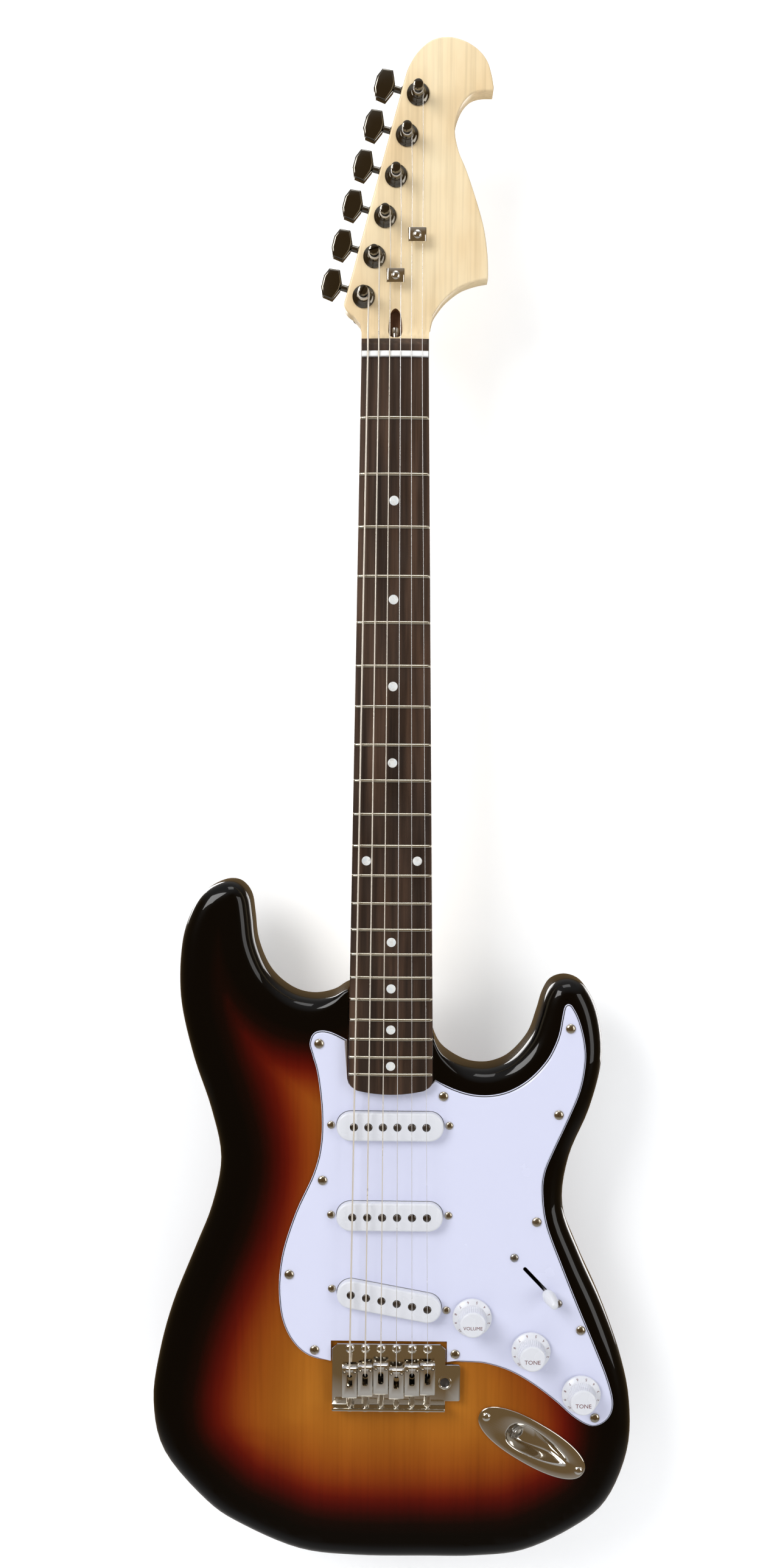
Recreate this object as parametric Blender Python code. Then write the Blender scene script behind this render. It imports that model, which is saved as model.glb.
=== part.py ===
"""Solid-body electric guitar: bolted neck, three single-coil pickups, sprung tremolo bridge.

Frame: +Z runs up the neck to the headstock, the front faces -Y, +X is the treble side.
The origin is on the neck's centre line at the nut, level with the body's front face.
Sizes below are millimetres; every mesh is written in metres.
"""
import math

import bmesh
import bpy
from mathutils import Matrix, Vector

for old in list(bpy.data.objects):
    bpy.data.objects.remove(old, do_unlink=True)

MM = 0.001

# ---------------------------------------------------------------- driving sizes (mm)
SCALE_LENGTH = 648.0        # nut to bridge line
BODY_THICKNESS = 44.5
EDGE_RADIUS = 12.0          # rounding of the body's rim
CONTACT_GAP = 0.3           # between pieces that touch
STRING_PITCH_NUT = 6.76
STRING_PITCH_BRIDGE = 10.5

NECK_HALF_NUT = 21.1
NECK_HALF_HEEL = 28.2
HEEL_TO_BRIDGE = 179.3      # end of the neck to the bridge line
HEEL_BOW = 2.8              # how far the neck's end bulges
POCKET_DEPTH = 15.9
BOARD_RISE = 9.5            # top of the fingerboard over the body
BOARD_THICKNESS = 4.8
BOARD_RADIUS = 241.0
BOARD_OVERHANG = 8.0        # board behind the nut before it slopes off
NECK_BACK_NUT = 11.0
NECK_BACK_HEEL = 13.4
FRET_HEIGHT = 1.1
FRET_HALF_WIDTH = 1.2
NUT_THICKNESS = 3.5

HEAD_FACE = -1.6
HEAD_THICKNESS = 14.3
TUNER_PITCH = 24.9
TUNER_LEAN = 15.4           # degrees from the neck's line
TUNER_FIRST = (-19.9, 38.4)
POST_RADIUS = 2.6
POST_HEIGHT = 16.5
WIND_HEIGHT = 9.5
WORM_OFFSET = 7.0
BUTTON_REACH = 17.6         # post axis to the button's inner face

PICKGUARD_THICKNESS = 2.3
PICKUP_LENGTH = 71.2
PICKUP_WIDTH = 19.2
PICKUP_SLANT = 10.6         # degrees, bridge pickup
PICKUP_RISE = 6.2           # covers over the pickguard
POLE_RADIUS = 2.5
PICKUP_SCREW_SPACING = 78.6

KNOB_RADIUS = 13.2
KNOB_HEIGHT = 15.6
SHAFT_RADIUS = 2.9
POT_RADIUS = 11.5
SWITCH_ANGLE = -46.5        # degrees, direction of the switch's slot
SWITCH_THROW = 22.7         # degrees each side of the middle
SWITCH_PIVOT_DEPTH = 20.0
SWITCH_SCREWS = 43.6
JACK_ANGLE = -30.8

PLATE_THICKNESS = 2.0
PLATE_FLOAT = 3.2           # bridge plate over the body
PLATE_HALF = 38.3
PLATE_LIP = 2.7             # plate ahead of the pivot line
SADDLE_HEIGHT = 8.6         # crest over the bridge plate
SADDLE_LENGTH = 21.3
BLOCK_THICKNESS = 12.0
BLOCK_HEIGHT = 37.0
STRING_HOLE = 15.5          # string holes behind the bridge line
PIVOT_LEAD = 3.7            # pivot screws ahead of the bridge line
SPRING_CAVITY_DEPTH = 16.0
BACK_PLATE_THICKNESS = 1.8

# ---------------------------------------------------------------- derived levels
BOARD_TOP = -BOARD_RISE
BOARD_UNDER = BOARD_TOP + BOARD_THICKNESS
NECK_TOP = BOARD_UNDER + CONTACT_GAP
NECK_END = HEEL_TO_BRIDGE - SCALE_LENGTH
HEEL_BACK = POCKET_DEPTH - CONTACT_GAP
HEAD_BACK = HEAD_FACE + HEAD_THICKNESS
GUARD_BACK = -CONTACT_GAP
GUARD_TOP = GUARD_BACK - PICKGUARD_THICKNESS
PLATE_BACK = -PLATE_FLOAT
PLATE_TOP = PLATE_BACK - PLATE_THICKNESS
BACK = BODY_THICKNESS
CAVITY_FLOOR = BACK - SPRING_CAVITY_DEPTH
PIVOT = (0.0, (PLATE_BACK + PLATE_TOP) / 2, PIVOT_LEAD - SCALE_LENGTH)
STRING_RADII = (0.55, 0.45, 0.33, 0.22, 0.18, 0.15)
SADDLE_SETBACK = (8.2, 6.8, 5.4, 8.6, 6.5, 5.7)
GUARD_SCREWS = ((-47.4, 211.8), (118.7, 223.1), (111.9, 164.9), (35.2, 176.9), (-45.0, 119.0), (44.9, -1.1),
                (129.4, 16.5), (140.3, -45.2), (98.5, 91.6), (-67.4, 53.7), (-50.3, 1.1))
POTS = (("volume", 56.0, 25.4), ("tone_upper", 96.0, 2.2), ("tone_lower", 130.5, -27.9))
PICKUPS = (("neck", 157.0, 0.0), ("middle", 95.5, 0.0), ("bridge", 37.0, -PICKUP_SLANT))
SWITCH_CENTRE = (98.9, 50.9)
JACK_CENTRE = (98.4, -64.8)
ARM_HOLE = (38.0, -20.2)


def zb(v):
    """Height measured from the bridge line."""
    return v - SCALE_LENGTH


# ---------------------------------------------------------------- materials
def material(name, rgb, roughness, metallic=0.0):
    mat = bpy.data.materials.new(name)
    mat.use_nodes = True
    shader = mat.node_tree.nodes["Principled BSDF"]
    shader.inputs["Base Color"].default_value = (*rgb, 1.0)
    shader.inputs["Roughness"].default_value = roughness
    shader.inputs["Metallic"].default_value = metallic
    return mat


SUNBURST = material("sunburst_lacquer", (0.45, 0.14, 0.03), 0.12)
MAPLE = material("maple", (0.82, 0.62, 0.36), 0.35)
ROSEWOOD = material("rosewood", (0.13, 0.07, 0.045), 0.55)
BONE = material("nut_white", (0.88, 0.87, 0.82), 0.4)
STEEL = material("steel", (0.60, 0.60, 0.60), 0.3, 1.0)
CHROME = material("chrome", (0.80, 0.80, 0.80), 0.08, 1.0)
DARK_CHROME = material("dark_chrome", (0.35, 0.34, 0.32), 0.12, 1.0)
WHITE_PLY = material("pickguard_white", (0.78, 0.78, 0.88), 0.25)
WHITE_PLASTIC = material("white_plastic", (0.86, 0.86, 0.88), 0.3)
BLACK_PLASTIC = material("black_plastic", (0.03, 0.03, 0.03), 0.5)
IRON = material("block_metal", (0.30, 0.30, 0.31), 0.45, 1.0)
STRING_METAL = material("string_steel", (0.72, 0.72, 0.70), 0.25, 1.0)


# ---------------------------------------------------------------- mesh helpers
def finish(name, bm, mat, origin=(0.0, 0.0, 0.0), sharp=35.0):
    """Turns a bmesh in millimetres into an object in metres with its origin at the given point."""
    bmesh.ops.recalc_face_normals(bm, faces=bm.faces)
    bmesh.ops.transform(bm, matrix=Matrix.Scale(MM, 4) @ Matrix.Translation(-Vector(origin)), verts=bm.verts)
    mesh = bpy.data.meshes.new(name)
    bm.to_mesh(mesh)
    bm.free()
    mesh.shade_smooth()
    mesh.set_sharp_from_angle(angle=math.radians(sharp))
    obj = bpy.data.objects.new(name, mesh)
    obj.location = Vector(origin) * MM
    if mat:
        mesh.materials.append(mat)
    bpy.context.scene.collection.objects.link(obj)
    return obj


def skin(bm, rings, closed=False):
    """Quads between equal rings of points, with flat caps unless the rings close on themselves."""
    loops = [[bm.verts.new(p) for p in ring] for ring in rings]
    count = len(loops[0])
    pairs = list(zip(loops, loops[1:]))
    if closed:
        pairs.append((loops[-1], loops[0]))
    for low, high in pairs:
        for i in range(count):
            j = (i + 1) % count
            bm.faces.new((low[i], low[j], high[j], high[i]))
    if not closed:
        bm.faces.new(loops[0][::-1])
        bm.faces.new(loops[-1])
    return bm


def prism(outline, y0, y1, bm=None):
    """An (x, z) outline stretched from y0 to y1."""
    bm = bm or bmesh.new()
    return skin(bm, [[(x, y, z) for x, z in outline] for y in (y0, y1)])


def box(x0, x1, y0, y1, z0, z1, bm=None):
    return prism([(x0, z0), (x1, z0), (x1, z1), (x0, z1)], y0, y1, bm)


def lathe(profile, centre, axis=(0, -1, 0), sides=12, bm=None, turn=0.0):
    """Turns (radius, height) points about an axis; a zero radius closes on the axis, else it loops."""
    bm = bm or bmesh.new()
    axis = Vector(axis).normalized()
    side = axis.orthogonal().normalized()
    other = axis.cross(side)
    centre = Vector(centre)
    rings = []
    for radius, height in profile:
        spot = centre + axis * height
        if radius == 0:
            rings.append([bm.verts.new(spot)])
            continue
        ring = []
        for k in range(sides):
            a = 2 * math.pi * k / sides + turn
            ring.append(bm.verts.new(spot + (side * math.cos(a) + other * math.sin(a)) * radius))
        rings.append(ring)
    pairs = list(zip(rings, rings[1:]))
    if profile[0][0] > 0:
        pairs.append((rings[-1], rings[0]))
    for a, b in pairs:
        for k in range(sides):
            n = (k + 1) % sides
            corners = [a[k % len(a)], a[n % len(a)], b[n % len(b)], b[k % len(b)]]
            unique = list(dict.fromkeys(corners))
            if len(unique) > 2:
                bm.faces.new(unique)
    return bm


def rod(radius, start, end, sides=6, bm=None):
    start, end = Vector(start), Vector(end)
    length = (end - start).length
    profile = [(0, 0), (radius, 0), (radius, length), (0, length)]
    return lathe(profile, start, end - start, sides, bm)


def area(outline):
    return 0.5 * sum(a[0] * b[1] - b[0] * a[1] for a, b in zip(outline, outline[1:] + outline[:1]))


def inset(outline, amounts):
    """Moves each point inward by its own amount, square to the outline."""
    turn = 1.0 if area(outline) > 0 else -1.0
    moved = []
    for i, p in enumerate(outline):
        a, b = Vector(outline[i - 1]), Vector(outline[(i + 1) % len(outline)])
        here = Vector(p)
        one, two = (here - a).normalized(), (b - here).normalized()
        normal = (Vector((-one.y, one.x)) + Vector((-two.y, two.x))).normalized() * turn
        spread = max(normal.dot(Vector((-one.y, one.x)) * turn), 0.6)
        amount = amounts[i] if isinstance(amounts, list) else amounts
        moved.append(tuple(here + normal * (amount / spread)))
    return moved


def cutter(name, bm):
    """A hidden shape for a Boolean."""
    obj = finish(name, bm, None)
    obj.hide_render = True
    obj.display_type = "WIRE"
    return obj


def boolean(target, tool, operation="DIFFERENCE"):
    mod = target.modifiers.new(tool.name, "BOOLEAN")
    mod.operation = operation
    mod.solver = "EXACT"
    mod.object = tool


def piece(name, bm, mat, origin=(0.0, 0.0, 0.0), add=(), cut=()):
    """A node: its main shape, the shapes united with it and then the shapes cut from it."""
    obj = finish(name, bm, mat, origin)
    for i, extra in enumerate(add):
        boolean(obj, cutter("%s_add_%d" % (name, i + 1), extra), "UNION")
    for i, extra in enumerate(cut):
        boolean(obj, cutter("%s_cut_%d" % (name, i + 1), extra))
    return obj


def rotated(centre, angle, along, across):
    """Point of a part turned in the front plane: along its length, then across it."""
    a = math.radians(angle)
    return (centre[0] + along * math.cos(a) - across * math.sin(a),
            zb(centre[1]) + along * math.sin(a) + across * math.cos(a))


def stadium(centre, angle, length, width, arc=6, end_radius=None):
    """Long outline with round ends (or round corners of the given radius)."""
    r = end_radius or width / 2
    points = []
    corners = ((1, 1), (-1, 1), (-1, -1), (1, -1))
    for quarter, (sx, sy) in enumerate(corners):
        for k in range(arc // 2 + 1):
            a = math.pi / 2 * (quarter + k / (arc // 2))
            along = sx * (length / 2 - r) + r * math.cos(a)
            across = sy * (width / 2 - r) + r * math.sin(a)
            points.append(rotated(centre, angle, along, across))
    clean = [p for i, p in enumerate(points) if (Vector(p) - Vector(points[i - 1])).length > 0.01]
    return clean


def screw(centre, axis, shank, head_radius, shank_radius, head, bm=None):
    """Screw with a low pointed head: centre is under its head, axis points out of the head."""
    profile = [(0, -shank), (shank_radius, -shank), (shank_radius, 0), (head_radius, 0), (0, head)]
    return lathe(profile, centre, axis, 6, bm)


FRONT = (0, -1, 0)
REAR = (0, 1, 0)

# ---------------------------------------------------------------- body
# Outline points are (x, height from the bridge line), clockwise from the bass side of the neck.
BODY_POINTS = [(-29, 247.5), (-38.7, 242.2), (-51.5, 240.3), (-64, 242.8), (-75.5, 250.3), (-84, 261),
               (-90.3, 277.7), (-92.3, 295), (-94.4, 308), (-100, 315.8), (-107.5, 318.3), (-116.5, 316),
               (-125.8, 309.5), (-133, 297.5), (-138.6, 280.4), (-140.9, 256), (-139.3, 231.2), (-131.6, 198.1),
               (-120.8, 164.9), (-114.4, 131.3), (-120.8, 97.4), (-134.3, 63.1), (-148, 28.6), (-157.5, -6.2),
               (-162.2, -41.2), (-155, -77), (-126.2, -112.8), (-100.9, -130.4), (-61.5, -147.4), (-22, -151.9),
               (26, -152), (61, -151.4), (94.2, -146.8), (127.6, -130.4), (151, -109.8), (164.6, -74.3),
               (165.3, -38), (157.6, -3), (144.8, 31.4), (129.2, 65.6), (116.9, 99.5), (120.3, 133.4),
               (133.5, 167), (141, 200.4), (138.3, 229), (129.8, 248.5), (119, 254.6), (108.2, 252.0),
               (102.3, 243), (98.4, 229.7), (92.8, 214), (81.4, 200.4), (69.8, 194.4), (58.2, 193.4),
               (46.5, 196.3), (34.8, 203.4), (29.2, 213), (27.2, 222), (26.6, 235), (17, 247.3), (0, 248.6),
               (-17, 248.6)]


def bend_radius(outline, i):
    """Radius of the circle through a point and its two neighbours; infinite where the outline is hollow."""
    a, b, c = (Vector(outline[j % len(outline)]) for j in (i - 1, i, i + 1))
    cross = (b - a).x * (c - b).y - (b - a).y * (c - b).x
    turn = 1.0 if area(outline) > 0 else -1.0
    if cross * turn < 1e-6:
        return math.inf
    return (b - a).length * (c - b).length * (c - a).length / (2 * cross * turn)


def pocket_nearness(point):
    """One beside the neck, where the rim is nearly square, falling to zero on the open rim."""
    x, h = point
    t = min(max((52.0 - abs(x)) / 20.0, 0.0), 1.0) if h > 180 else 0.0
    return t * t * (3 - 2 * t)


body_outline = list(BODY_POINTS)
rim = [min(EDGE_RADIUS * (1 - 0.85 * pocket_nearness(p)), 0.8 * bend_radius(body_outline, i))
       for i, p in enumerate(body_outline)]
rim = [(rim[i - 1] + 2 * rim[i] + rim[(i + 1) % len(rim)]) / 4 for i in range(len(rim))]
body_outline = [(x, zb(h)) for x, h in body_outline]
RIM_STEPS = 2
rings = []
for face, sign in ((0.0, 1.0), (BODY_THICKNESS, -1.0)):
    side = []
    for k in range(RIM_STEPS + 1):
        a = math.pi / 2 * k / RIM_STEPS
        loop = inset(body_outline, [r * (1 - math.sin(a)) for r in rim])
        side.append([(x, face + sign * r * (1 - math.cos(a)), z) for (x, z), r in zip(loop, rim)])
    rings += side if sign > 0 else side[::-1]
body = finish("body", skin(bmesh.new(), rings), SUNBURST)


def half_width(z):
    """Half the neck's width, growing evenly from the nut to the heel."""
    return NECK_HALF_NUT + (NECK_HALF_HEEL - NECK_HALF_NUT) * z / NECK_END


END_STEPS = ((0.0, 5.5, 0.9), (1.6, 2.6, 1.0), (4.5, 0.9, 0.75), (9.0, 0.0, 0.0))
half_end = half_width(NECK_END + END_STEPS[-1][0])


def heel_outline(clearance, top):
    """Plan outline of the neck's bowed end, grown by a clearance, from one top corner round to the other."""
    c = clearance
    right = [(half_end + c, top), (half_end + c, NECK_END + END_STEPS[-1][0])]
    for rise, narrower, bow in END_STEPS[-2::-1]:
        right.append((half_end - narrower + c, NECK_END + rise + HEEL_BOW * bow - c))
    tip = half_end - END_STEPS[0][1]
    for share in (0.68, 0.35):
        right.append((tip * share, NECK_END + HEEL_BOW * END_STEPS[0][2] * share ** 2 - c))
    return right + [(0.0, NECK_END - c)] + [(-x, z) for x, z in right[::-1]]


# ---------------------------------------------------------------- cavities in the body
boolean(body, cutter("neck_pocket", prism(heel_outline(0.35, zb(262)), -5, POCKET_DEPTH)))
ROUT_DEPTH = 19.0
for label, height, angle in PICKUPS:
    rout = stadium((0, height), angle, PICKUP_SCREW_SPACING + 8.0, PICKUP_WIDTH + 4.0, 4, 6.0)
    boolean(body, cutter("rout_" + label, prism(rout, -5, ROUT_DEPTH)))
CONTROL_CAVITY = [(43, 42), (43, 12), (68, 7), (96, -17), (112, -29), (121, -38), (133, -45), (141, -40.5),
                  (146, -31), (143, -17), (124, 12), (124, 32), (101, 74), (86, 80), (71, 63)]
boolean(body, cutter("control_cavity", prism([(x, zb(h)) for x, h in CONTROL_CAVITY], -5, 36.0)))
tremolo_slot = [(-37, zb(-1)), (-37, zb(-35.5)), (37.4, zb(-35.5)), (37.4, zb(-32.5)), (44, zb(-32.5)),
                (44, zb(-9)), (37.4, zb(-9)), (37.4, zb(-1))]
boolean(body, cutter("tremolo_slot", prism(tremolo_slot, -5, BACK + 5)))
CAVITY_HALF = 35.0
CAVITY_TOP = 118.0
CAVITY_BASE = -39.0
cavity_mid = (CAVITY_TOP + CAVITY_BASE) / 2
cavity_long = CAVITY_TOP - CAVITY_BASE
spring_cavity = stadium((0, cavity_mid), 90, cavity_long, 2 * CAVITY_HALF, 4, 8.0)
boolean(body, cutter("spring_cavity", prism(spring_cavity, CAVITY_FLOOR, BACK + 5)))


def jack_oval(along_half, across_half, shift, count):
    """Ellipse in the jack plate's own directions."""
    points = []
    for k in range(count):
        t = 2 * math.pi * k / count
        along = shift + along_half * math.cos(t)
        points.append(rotated(JACK_CENTRE, JACK_ANGLE, along, across_half * math.sin(t)))
    return points


boolean(body, cutter("jack_cavity", prism(jack_oval(32.5, 13.6, -1.0, 16), -5, 34)))
boolean(body, cutter("wire_way", rod(3.5, (112, 22, zb(-58)), (121, 22, zb(-28)))))

# ---------------------------------------------------------------- neck
NECK_RING = 17


def neck_ring(z, half, top, back, power, bow=0.0):
    """D-shaped section: flat on top, a super-ellipse behind; bow bulges the ring towards the bridge."""
    ring = []
    for j in range(NECK_RING):
        a = math.pi * j / (NECK_RING - 1)
        c, s = math.cos(a), math.sin(a)
        x = -half * math.copysign(abs(c) ** (2 / power), c)
        y = top + (back - top) * abs(s) ** (2 / power)
        ring.append((x, y, z + bow * (x / half) ** 2))
    return ring


SQUARE = 14
neck_rings = [neck_ring(NECK_END + rise, half_end - narrower, NECK_TOP, HEEL_BACK, SQUARE, HEEL_BOW * bow)
              for rise, narrower, bow in END_STEPS]
BODY_EDGE = zb(251.0)
for rise, depth, power in ((0, 0.0, SQUARE), (8, 0.4, 6), (18, 1.4, 3), (34, 2.2, 2.3)):
    z = BODY_EDGE + rise
    neck_rings.append(neck_ring(z, half_width(z), NECK_TOP, HEEL_BACK - depth, power))
for share in (0.66, 0.33, 0.04):
    z = (BODY_EDGE + 34) * share
    back = NECK_BACK_NUT + (NECK_BACK_HEEL - NECK_BACK_NUT) * share
    neck_rings.append(neck_ring(z, half_width(z), NECK_TOP, back, 2.2))
neck_rings.append(neck_ring(4.0, NECK_HALF_NUT, NECK_TOP, NECK_BACK_NUT + 0.2, 2.4))
neck_rings.append(neck_ring(12.6, NECK_HALF_NUT, NECK_TOP, NECK_BACK_NUT + 0.5, 3.0))
neck_rings.append(neck_ring(17.5, NECK_HALF_NUT + 0.2, NECK_TOP + 1.9, NECK_BACK_NUT + 1.0, 5.0))

# The last ring is a rectangle in the headstock's plane; the flat headstock grows out of its corners.
HEAD_START = 22.3
HEAD_HALF = NECK_HALF_NUT + 1.0
side_share = (0.0, 0.4, 0.75, 1.0)
back_share = [-0.8 + 0.2 * k for k in range(9)]
last_ring = [(-HEAD_HALF, HEAD_FACE + HEAD_THICKNESS * f, HEAD_START) for f in side_share]
last_ring += [(HEAD_HALF * f, HEAD_BACK, HEAD_START) for f in back_share]
last_ring += [(HEAD_HALF, HEAD_FACE + HEAD_THICKNESS * f, HEAD_START) for f in side_share[::-1]]
neck_rings.append(last_ring)

# Headstock outline from the treble side of the nut, up round the tip and down the tuner side.
HEAD_THROAT = [(23.2, 26.6), (25.9, 31.1), (31.5, 37.9), (40.4, 44.6), (49.5, 48.0), (57.6, 49.6)]
HEAD_WAIST = [(57.7, 51.5), (57.2, 63.5), (54.7, 80), (49.5, 97.3), (43.3, 114.5), (38.3, 126),
                     (36.0, 138.5), (38.8, 149.8), (44.0, 157.2), (50.5, 160.2), (59.3, 160.6)]
HEAD_CREST = [(59.7, 162.6), (58.3, 170), (55.6, 178), (50.2, 184.6), (41.6, 189.8), (31.5, 192.1),
                     (21.5, 190.2), (12.9, 183.4), (7.3, 174.8), (4.7, 167.5)]
HEAD_LOBE = [(-30.8, 39.5), (-32.3, 33.6), (-30.2, 29.6), (-26, 26.6)]
head_outline = HEAD_THROAT + HEAD_WAIST + HEAD_CREST + HEAD_LOBE

bm = bmesh.new()
loops = [[bm.verts.new(p) for p in ring] for ring in neck_rings]
for low, high in zip(loops, loops[1:]):
    for i in range(NECK_RING):
        j = (i + 1) % NECK_RING
        bm.faces.new((low[i], low[j], high[j], high[i]))
bm.faces.new(loops[0][::-1])
front_loop = [bm.verts.new((x, HEAD_FACE, z)) for x, z in head_outline]
back_loop = [bm.verts.new((x, HEAD_BACK, z)) for x, z in head_outline]
end = loops[-1]
bm.faces.new([end[0], end[-1]] + front_loop)
bm.faces.new((end[3:14] + back_loop)[::-1])
bm.faces.new([end[-1], end[-2], end[-3], end[-4], back_loop[0], front_loop[0]])
bm.faces.new([front_loop[-1], back_loop[-1], end[3], end[2], end[1], end[0]])
for i in range(len(front_loop) - 1):
    bm.faces.new((front_loop[i], back_loop[i], back_loop[i + 1], front_loop[i + 1]))
neck = finish("neck", bm, MAPLE)

ROD_DEPTH = NECK_TOP + 7.0
ROD_RADIUS = 2.4
ROD_END = NECK_END + 30.0
scoop = [(-3.7, 14.5), (3.7, 14.5), (4.0, 24), (2.6, 29.4), (0, 31.5), (-2.6, 29.4), (-4.0, 24)]
boolean(neck, cutter("rod_channel", rod(ROD_RADIUS + CONTACT_GAP, (0, ROD_DEPTH, ROD_END), (0, ROD_DEPTH, 16.0))))
boolean(neck, cutter("rod_scoop", prism(scoop, NECK_TOP - 4, ROD_DEPTH + ROD_RADIUS + 0.8)))
piece("truss_rod", rod(ROD_RADIUS, (0, ROD_DEPTH, ROD_END + 2), (0, ROD_DEPTH, 20.0)), STEEL)


# ---------------------------------------------------------------- fingerboard with its frets, and the nut
def board_drop(x):
    """How much lower the cylindrical board is, this far from its centre."""
    return BOARD_RADIUS - math.sqrt(BOARD_RADIUS ** 2 - x * x)


ARC_SHARES = (-1.0, -0.4, 0.4, 1.0)


def board_ring(z, half, top=BOARD_TOP, bow=0.0):
    least = BOARD_UNDER - 0.25
    ring = [(half * f, min(top + board_drop(half * f), least), z + bow * f * f) for f in ARC_SHARES]
    return ring + [(half, BOARD_UNDER, z + bow), (-half, BOARD_UNDER, z + bow)]


def fret_place(n):
    """Height of a fret below the nut, by the twelfth root of two."""
    return -SCALE_LENGTH * (1 - 2 ** (-n / 12))


fret_count = 0
while fret_place(fret_count + 1) > NECK_END + 10.0:
    fret_count += 1
FRET_SEAT = 0.5
frets = bmesh.new()
for number in range(1, fret_count + 1):
    z = fret_place(number)
    half = half_width(z) - 0.25
    rings = []
    for share in ARC_SHARES:
        x = half * share
        top = BOARD_TOP + board_drop(x)
        crown = top - FRET_HEIGHT
        rings.append([(x, top + FRET_SEAT, z - FRET_HALF_WIDTH), (x, crown, z - FRET_HALF_WIDTH / 2),
                      (x, crown, z + FRET_HALF_WIDTH / 2), (x, top + FRET_SEAT, z + FRET_HALF_WIDTH)])
    skin(frets, rings)
board_rings = [board_ring(NECK_END + rise, half_end - narrower, bow=HEEL_BOW * bow)
               for rise, narrower, bow in END_STEPS]
board_rings += [board_ring(0.0, NECK_HALF_NUT),
                board_ring(BOARD_OVERHANG, NECK_HALF_NUT),
                board_ring(BOARD_OVERHANG + 2.2, NECK_HALF_NUT, BOARD_TOP + 2.4),
                board_ring(BOARD_OVERHANG + 4.4, NECK_HALF_NUT, BOARD_TOP + 3.6)]
NUT_START = 0.5
NUT_SEAT = BOARD_TOP + 2.5
nut_end = NUT_START + NUT_THICKNESS
nut_slot = box(-40, 40, BOARD_TOP - 6, NUT_SEAT, NUT_START - CONTACT_GAP, nut_end + CONTACT_GAP)
piece("fingerboard", skin(bmesh.new(), board_rings), ROSEWOOD, add=[frets], cut=[nut_slot])

NUT_RISE = 2.4
nut_half = NECK_HALF_NUT - 0.4
nut_rings = []
for z, drop in ((NUT_START, 0.0), (NUT_START + NUT_THICKNESS * 0.6, 0.0), (nut_end, 0.9)):
    top = [(nut_half * f, BOARD_TOP - NUT_RISE + drop + board_drop(nut_half * f), z) for f in ARC_SHARES]
    nut_rings.append(top + [(nut_half, NUT_SEAT - CONTACT_GAP, z), (-nut_half, NUT_SEAT - CONTACT_GAP, z)])
piece("nut", skin(bmesh.new(), nut_rings), BONE)

# ---------------------------------------------------------------- tuners
lean = math.radians(TUNER_LEAN)
ALONG = Vector((math.sin(lean), 0, math.cos(lean)))          # up the row of posts
OUT = Vector((-math.cos(lean), 0, math.sin(lean)))           # towards the buttons
HOUSING_FRONT = HEAD_BACK + CONTACT_GAP
WORM_DEPTH = HOUSING_FRONT + 6.8
POST_BORE = POST_RADIUS + 0.5
HOUSING_SIDE = ((-10.4, 0.0), (11.6, 0.0), (11.6, 12.0), (-4.6, 12.0), (-4.6, 1.6), (-10.4, 1.6))
BUTTON_HALF = ((0.0, 2.4), (3.2, 9.5), (10.0, 8.7), (12.2, 0.0))
BUTTON_LAYERS = ((-3.7, 0.78), (-2.4, 1.0), (2.4, 1.0), (3.7, 0.78))


def post_place(k):
    """Post centre in the headstock's plane; the first is the thickest string's, nearest the nut."""
    return Vector((TUNER_FIRST[0], 0, TUNER_FIRST[1])) + ALONG * (TUNER_PITCH * k)


def tuner_point(k, out, along, y):
    p = post_place(k) + OUT * out + ALONG * along
    return (p.x, y, p.z)


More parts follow.
